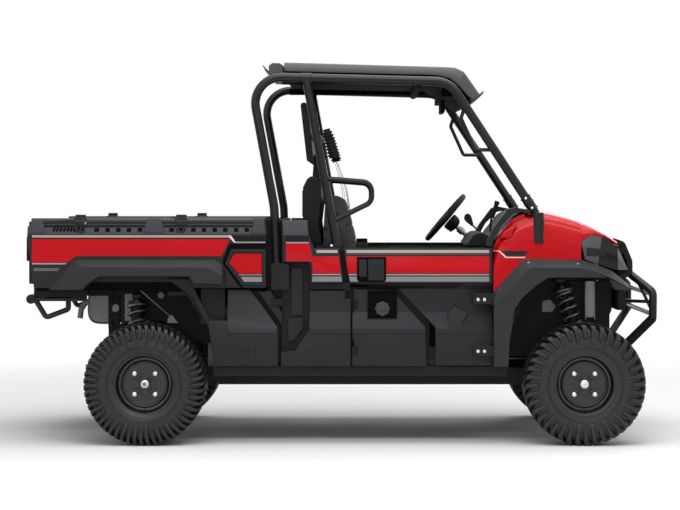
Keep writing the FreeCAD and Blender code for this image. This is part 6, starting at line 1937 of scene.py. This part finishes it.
    def bellows(self) -> Shape:
        """The ribbed boot round the belt's upper part: rings of two radii in turn."""
        start, end = np.array([-0.09, -0.6, 1.69]), np.array([-0.048, -0.6, 1.536])
        ribs = 9
        share = np.linspace(0.0, 1.0, ribs * 4 + 1)
        width = np.where(np.arange(len(share)) % 4 < 2, 0.033, 0.024)
        reach = width * np.interp(share, (0, 0.15, 1.0), (0.6, 0.9, 1.0))
        axis = (end - start) / np.linalg.norm(end - start)
        across = np.array([axis[2], 0.0, -axis[0]])
        ring = turns(18)
        outward = np.array([0.0, 1.0, 0.0])
        circle_part = across * np.cos(ring)[:, None] + outward * np.sin(ring)[:, None] * 0.85
        centre = start + (end - start) * share[:, None]
        surface = centre[:, None] + circle_part[None] * reach[:, None, None]
        return Shape().grid(surface, around=True).polygon(surface[0][::-1]).polygon(surface[-1])

    def straps(self) -> Shape:
        """Belt webbing: flat straps from the pillar's head through the boot to the seat's side."""
        shape = Shape()
        for path in (
            [(-0.052, -0.606, 1.54), (-0.022, -0.622, 1.429), (-0.006, -0.638, 1.363),
             (0.008, -0.64, 1.25), (0.02, -0.64, 1.12), (0.03, -0.64, 0.985)],
            [(-0.044, -0.6, 1.54), (-0.012, -0.585, 1.45), (0.014, -0.54, 1.362), (0.036, -0.47, 1.22)],
        ):
            shape.sweep(flat_bar(0.001, 0.012), flowing(path, 5))
        return shape

    def buckles(self) -> Shape:
        """Bright tongues on the belts."""
        shape = Shape()
        for y in (-0.592, 0.592):
            shape.block((-0.02, y - 0.016, 1.42), (-0.014, y + 0.016, 1.452))
        return shape

    def dash_hood(self) -> Shape:
        """The dash's moulded middle, which comes back towards the seats round the column and gear lever."""
        outline = [(0.676, 1.052), (0.674, 1.066), (0.704, 1.11), (0.73, 1.127), (0.758, 1.131),
                   (0.82, 1.1), (0.82, 1.052)]
        return Shape().prism(outline, -0.52, 0.25)

    def side_pads(self) -> Shape:
        """Small padded blocks at the seat's outer sides."""
        shape = Shape()
        for low, high in ((-0.655, -0.622), (0.622, 0.655)):
            shape.block((0.068, low, 0.86), (0.136, high, 1.077))
        return shape


@dataclass
class Seats:
    """Three seats of a bench: cushions and backs blown up as cloth, with piped seams."""

    widths: Places = ((-0.612, -0.212), (-0.204, 0.204), (0.212, 0.612))
    cushion: Places = (
        (-0.04, 0.853), (0.455, 0.853), (0.478, 0.876), (0.474, 0.922), (0.44, 0.936), (0.3, 0.924),
        (0.12, 0.914), (-0.01, 0.922), (-0.045, 0.905))
    back: Places = (
        (-0.08, 0.966), (0.0, 0.96), (0.046, 0.975), (0.058, 1.04), (0.034, 1.16), (-0.006, 1.3),
        (-0.024, 1.336), (-0.058, 1.342), (-0.078, 1.326), (-0.092, 1.1))
    swell: float = 0.016
    frames: int = 20
    seam_depth: float = 0.0055
    seam_width: float = 0.008
    seam_limit: float = 0.0065

    def build(self) -> None:
        """Makes the pads, one simulated shape for each kind."""
        for node, outline in (("seat_cushion", self.cushion), ("seat_back", self.back)):
            swollen = self.blown(node, self.form(np.array(outline), self.widths[1]))
            for index, (low, high) in enumerate(self.widths):
                mesh = swollen.copy()
                points = points_of(mesh) + (0.0, (low + high) / 2.0, 0.0)
                mesh.vertices.foreach_set("co", points.reshape(-1))
                mesh.materials.append(VINYL.material())
                mesh.name = f"{node}_pad_{index}"
                pad = bpy.data.objects.new(f"{node}_pad_{index}", mesh)
                bpy.context.scene.collection.objects.link(pad)
                levels = pad.modifiers.new("round", "SUBSURF")
                levels.levels = levels.render_levels = 1
                mesh.polygons.foreach_set("use_smooth", np.ones(len(mesh.polygons), bool))
                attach(pad, "chassis")
                if index == 0:
                    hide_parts(node)
                LOG.info("%s rides on chassis", pad.name)

    def form(self, outline: np.ndarray, middle: tuple[float, float]) -> Shape:
        """A pad before it swells: the side outline carried across and drawn in towards both ends."""
        half = (middle[1] - middle[0]) / 2.0 - 0.012
        share = np.array([-1.0, -0.97, -0.85, -0.5, 0.0, 0.5, 0.85, 0.97, 1.0])
        pull = np.array([0.86, 0.94, 0.985, 1.0, 1.0, 1.0, 0.985, 0.94, 0.86])
        centre = outline.mean(axis=0)
        line = flowing(np.concatenate([outline, outline[:1]]), 4)[:-1]
        surface = np.array([np.insert(centre + (line - centre) * size, 1, half * place, axis=1)
                            for place, size in zip(share, pull)])
        return Shape().grid(surface, around=True).polygon(surface[0]).polygon(surface[-1][::-1])

    def blown(self, name: str, shape: Shape) -> bpy.types.Mesh:
        """Blows a pad up as cloth, with its movement capped, then presses seams into it.

        Args:
            name: the pad's name.
            shape: its slack form.

        Returns:
            The swollen mesh.
        """
        mesh = bpy.data.meshes.new(f"{name}_slack")
        mesh.from_pydata(np.concatenate(shape.points).tolist(), [], [list(face) for face in shape.faces])
        settle(mesh, closed=True)
        pad = bpy.data.objects.new(f"{name}_slack", mesh)
        bpy.context.scene.collection.objects.link(pad)
        remesh = pad.modifiers.new("remesh", "REMESH")
        remesh.mode = "VOXEL"
        remesh.voxel_size = 0.0075
        remesh.use_smooth_shade = True
        slack = self.applied(pad, f"{name}_grid")
        pad.modifiers.clear()
        pad.data = slack
        swollen = slack
        cloth = pad.modifiers.new("cloth", "CLOTH")
        cloth.settings.use_pressure = True
        cloth.settings.uniform_pressure_force = 4.0
        cloth.settings.effector_weights.gravity = 0.0
        cloth.settings.tension_stiffness = 12.0
        scene = bpy.context.scene
        for frame in range(1, self.frames + 1):
            scene.frame_set(frame)
        swollen = self.applied(pad, f"{name}_swollen")
        scene.frame_set(1)
        pad.modifiers.clear()
        start = points_of(slack)
        step = points_of(swollen) - start
        size = np.linalg.norm(step, axis=1, keepdims=True)
        last = start + step * np.minimum(1.0, self.swell / np.maximum(size, 1e-9))
        swollen.vertices.foreach_set("co", self.seamed(name, last).reshape(-1))
        bpy.data.objects.remove(pad)
        return swollen

    def seamed(self, name: str, points: np.ndarray) -> np.ndarray:
        """Presses sewn channels in: points near a seam's line sink by a bell-shaped depth."""
        if name == "seat_cushion":
            seams = [(0, 0.08), (0, 0.225), (0, 0.37)]
            face, inward = points[:, 2] > 0.895, (0.0, 0.0, -1.0)
        else:
            seams = [(2, 1.07), (2, 1.16), (2, 1.25)]
            face, inward = points[:, 0] > -0.03 - (points[:, 2] - 1.0) * 0.12, (-1.0, 0.0, 0.0)
        depth = np.zeros(len(points))
        for axis, place in (*seams, (1, -0.135), (1, 0.135)):
            depth += self.seam_depth * np.exp(-((points[:, axis] - place) / self.seam_width) ** 2)
        return points + np.array(inward) * (np.minimum(depth, self.seam_limit) * face)[:, None]

    def applied(self, piece: bpy.types.Object, name: str) -> bpy.types.Mesh:
        """The piece's mesh with its modifiers applied."""
        graph = bpy.context.evaluated_depsgraph_get()
        graph.update()
        mesh = bpy.data.meshes.new_from_object(piece.evaluated_get(graph))
        mesh.name = name
        return mesh


@dataclass
class Stage:
    """Floor, backdrop, lamps and camera."""

    camera_place: Point = (0.1, -11.94, 1.307)
    lens: float = 111.1
    shift: tuple[float, float] = (-0.0316, -0.0809)
    floor_half: float = 60.0
    floor_fade: tuple[float, float] = (2.6, 5.5)
    sky_strength: float = 0.38

    def build(self) -> None:
        """Makes the floor, the world, the lamps and the camera."""
        self.floor()
        self.world()
        self.lamps()
        self.camera()

    def floor(self) -> None:
        """A flat pale floor under the wheels."""
        half = self.floor_half
        mesh = bpy.data.meshes.new("floor")
        corners = [(-half, -half, 0.0), (half, -half, 0.0), (half, half, 0.0), (-half, half, 0.0)]
        mesh.from_pydata(corners, [], [(0, 1, 2, 3)])
        graph = Graph("floor_white")
        seen = graph.node("ShaderNodeLightPath", output="Is Camera Ray")
        shine = graph.node("ShaderNodeBsdfDiffuse", inputs={"Color": (0.93, 0.93, 0.93)})
        glow = graph.node("ShaderNodeEmission", inputs={"Color": (1.0, 1.0, 1.0), "Strength": 1.0})
        reach = graph.math("SQRT", graph.x * graph.x + graph.y * graph.y)
        far = graph.node("ShaderNodeMapRange", inputs={
            "Value": reach, "From Min": self.floor_fade[0], "From Max": self.floor_fade[1]})
        graph.node_output(graph.node("ShaderNodeMixShader", inputs={0: seen * far, 1: shine, 2: glow}))
        mesh.materials.append(graph.material)
        floor = bpy.data.objects.new("floor", mesh)
        bpy.context.scene.collection.objects.link(floor)

    def world(self) -> None:
        """An even pale sky, plain white where the camera, gloss or glass sees it."""
        world = bpy.data.worlds.new("studio")
        world.use_nodes = True
        tree = world.node_tree
        tree.nodes.clear()
        light, white, pick, out = (tree.nodes.new(kind) for kind in (
            "ShaderNodeBackground", "ShaderNodeBackground", "ShaderNodeMixShader", "ShaderNodeOutputWorld"))
        for sky, strength in ((light, self.sky_strength), (white, 1.0)):
            sky.inputs["Color"].default_value = (1.0, 1.0, 1.0, 1.0)
            sky.inputs["Strength"].default_value = strength
        path, sight, glass = (tree.nodes.new(kind) for kind in (
            "ShaderNodeLightPath", "ShaderNodeMath", "ShaderNodeMath"))
        sight.operation = glass.operation = "MAXIMUM"
        for socket, into in (
            (path.outputs["Is Camera Ray"], glass.inputs[0]),
            (path.outputs["Is Transmission Ray"], glass.inputs[1]),
            (glass.outputs[0], sight.inputs[0]),
            (path.outputs["Is Glossy Ray"], sight.inputs[1]),
            (sight.outputs[0], pick.inputs[0]),
            (light.outputs[0], pick.inputs[1]),
            (white.outputs[0], pick.inputs[2]),
            (pick.outputs[0], out.inputs["Surface"]),
        ):
            tree.links.new(socket, into)
        bpy.context.scene.world = world

    def lamps(self) -> None:
        """A wide softbox overhead, a fill from the camera's side and a rim from behind."""
        plan = (
            ("softbox", (0.5, -0.5, 5.6), (0.0, 0.0, 0.8), (6.5, 5.0), 275.0),
            ("strip", (0.3, -4.2, 4.6), (0.0, -0.7, 0.8), (7.0, 0.8), 95.0),
            ("fill", (-2.0, -9.0, 3.0), (0.0, 0.0, 0.9), (5.0, 3.0), 30.0),
            ("rim", (3.5, 6.5, 3.8), (0.0, 0.0, 1.0), (4.0, 4.0), 90.0),
        )
        for name, place, aim, size, power in plan:
            light = bpy.data.lights.new(name, "AREA")
            light.shape = "RECTANGLE"
            light.size, light.size_y = size
            light.energy = power
            lamp = bpy.data.objects.new(name, light)
            lamp.location = place
            lamp.rotation_euler = look(np.subtract(aim, place))
            bpy.context.scene.collection.objects.link(lamp)

    def camera(self) -> None:
        """The photograph's viewpoint, level and square to the vehicle's right side."""
        lens = bpy.data.cameras.new("camera")
        lens.lens = self.lens
        lens.sensor_width = 36.0
        lens.shift_x, lens.shift_y = self.shift
        lens.clip_end = 200.0
        camera = bpy.data.objects.new("camera", lens)
        camera.location = self.camera_place
        camera.rotation_euler = (math.radians(90.0), 0.0, 0.0)
        bpy.context.scene.collection.objects.link(camera)
        bpy.context.scene.camera = camera
        bpy.context.scene.view_settings.view_transform = "Standard"


def look(direction: np.ndarray) -> tuple[float, float, float]:
    """The turn that points an object's -Z along a direction."""
    x, y, z = direction / np.linalg.norm(direction)
    return math.acos(-z), 0.0, math.atan2(-x, y)


DRESSED = (
    (DARK_PLASTIC,
     "sills seat_base mudguards bulkhead dash rear_panel floor_pan grille headlamps "
     "bed_tub steering_column steering_wheel levers fuel_cap"),
    (PLASTIC, "lower_panels quarter_panels front_flares rear_flares pillar_covers"),
    (ROOF_PLASTIC, "roof"),
    (GLOSS_RED, "bonnet wing_right wing_left tailgate"),
    (BED_SIDE, "bed_sides"),
    (DOOR_SIDE, "door_right door_left"),
    (SATIN_BLACK,
     "cage_right cage_left cage_crossbars front_bumper rear_bar bed_rails dampers "
     "coil_springs"),
    (CHASSIS_BLACK,
     "main_rails crossmembers tower_legs upper_rails skid_plate tow_hitch "
     "suspension_arms"),
    (CAST, "rear_carriers knuckle_right knuckle_left engine_block gear_cases"),
    (DULL_STEEL, "drive_shafts muffler"),
    (VINYL, "seat_cushion seat_back"),
    (RUBBER, "tyre_front_right tyre_front_left tyre_rear_right tyre_rear_left"),
    (WHEEL_BLACK, "rim_front_right rim_front_left rim_rear_right rim_rear_left"),
)


def main() -> None:
    """Builds every sub-assembly in order."""
    logging.basicConfig(level=logging.INFO, format="%(message)s")
    for finish, nodes in DRESSED:
        for node in nodes.split():
            dress(node, finish)
    for part in (
        Wheel("front", 1.289, 0.6975, 0.229, 0.089, 40, False),
        Wheel("rear", -1.056, 0.6725, 0.279, 0.102, 54, True),
        Springs(),
        Cage(),
        FrontBody(),
        SidePanels(),
        Doors(),
        Bed(),
        RearEnd(),
        Roof(),
        Cab(),
        Seats(),
    ):
        LOG.info("building %s", type(part).__name__)
        part.build()
    Stage().build()


if __name__ == "__main__":
    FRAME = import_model()
    main()
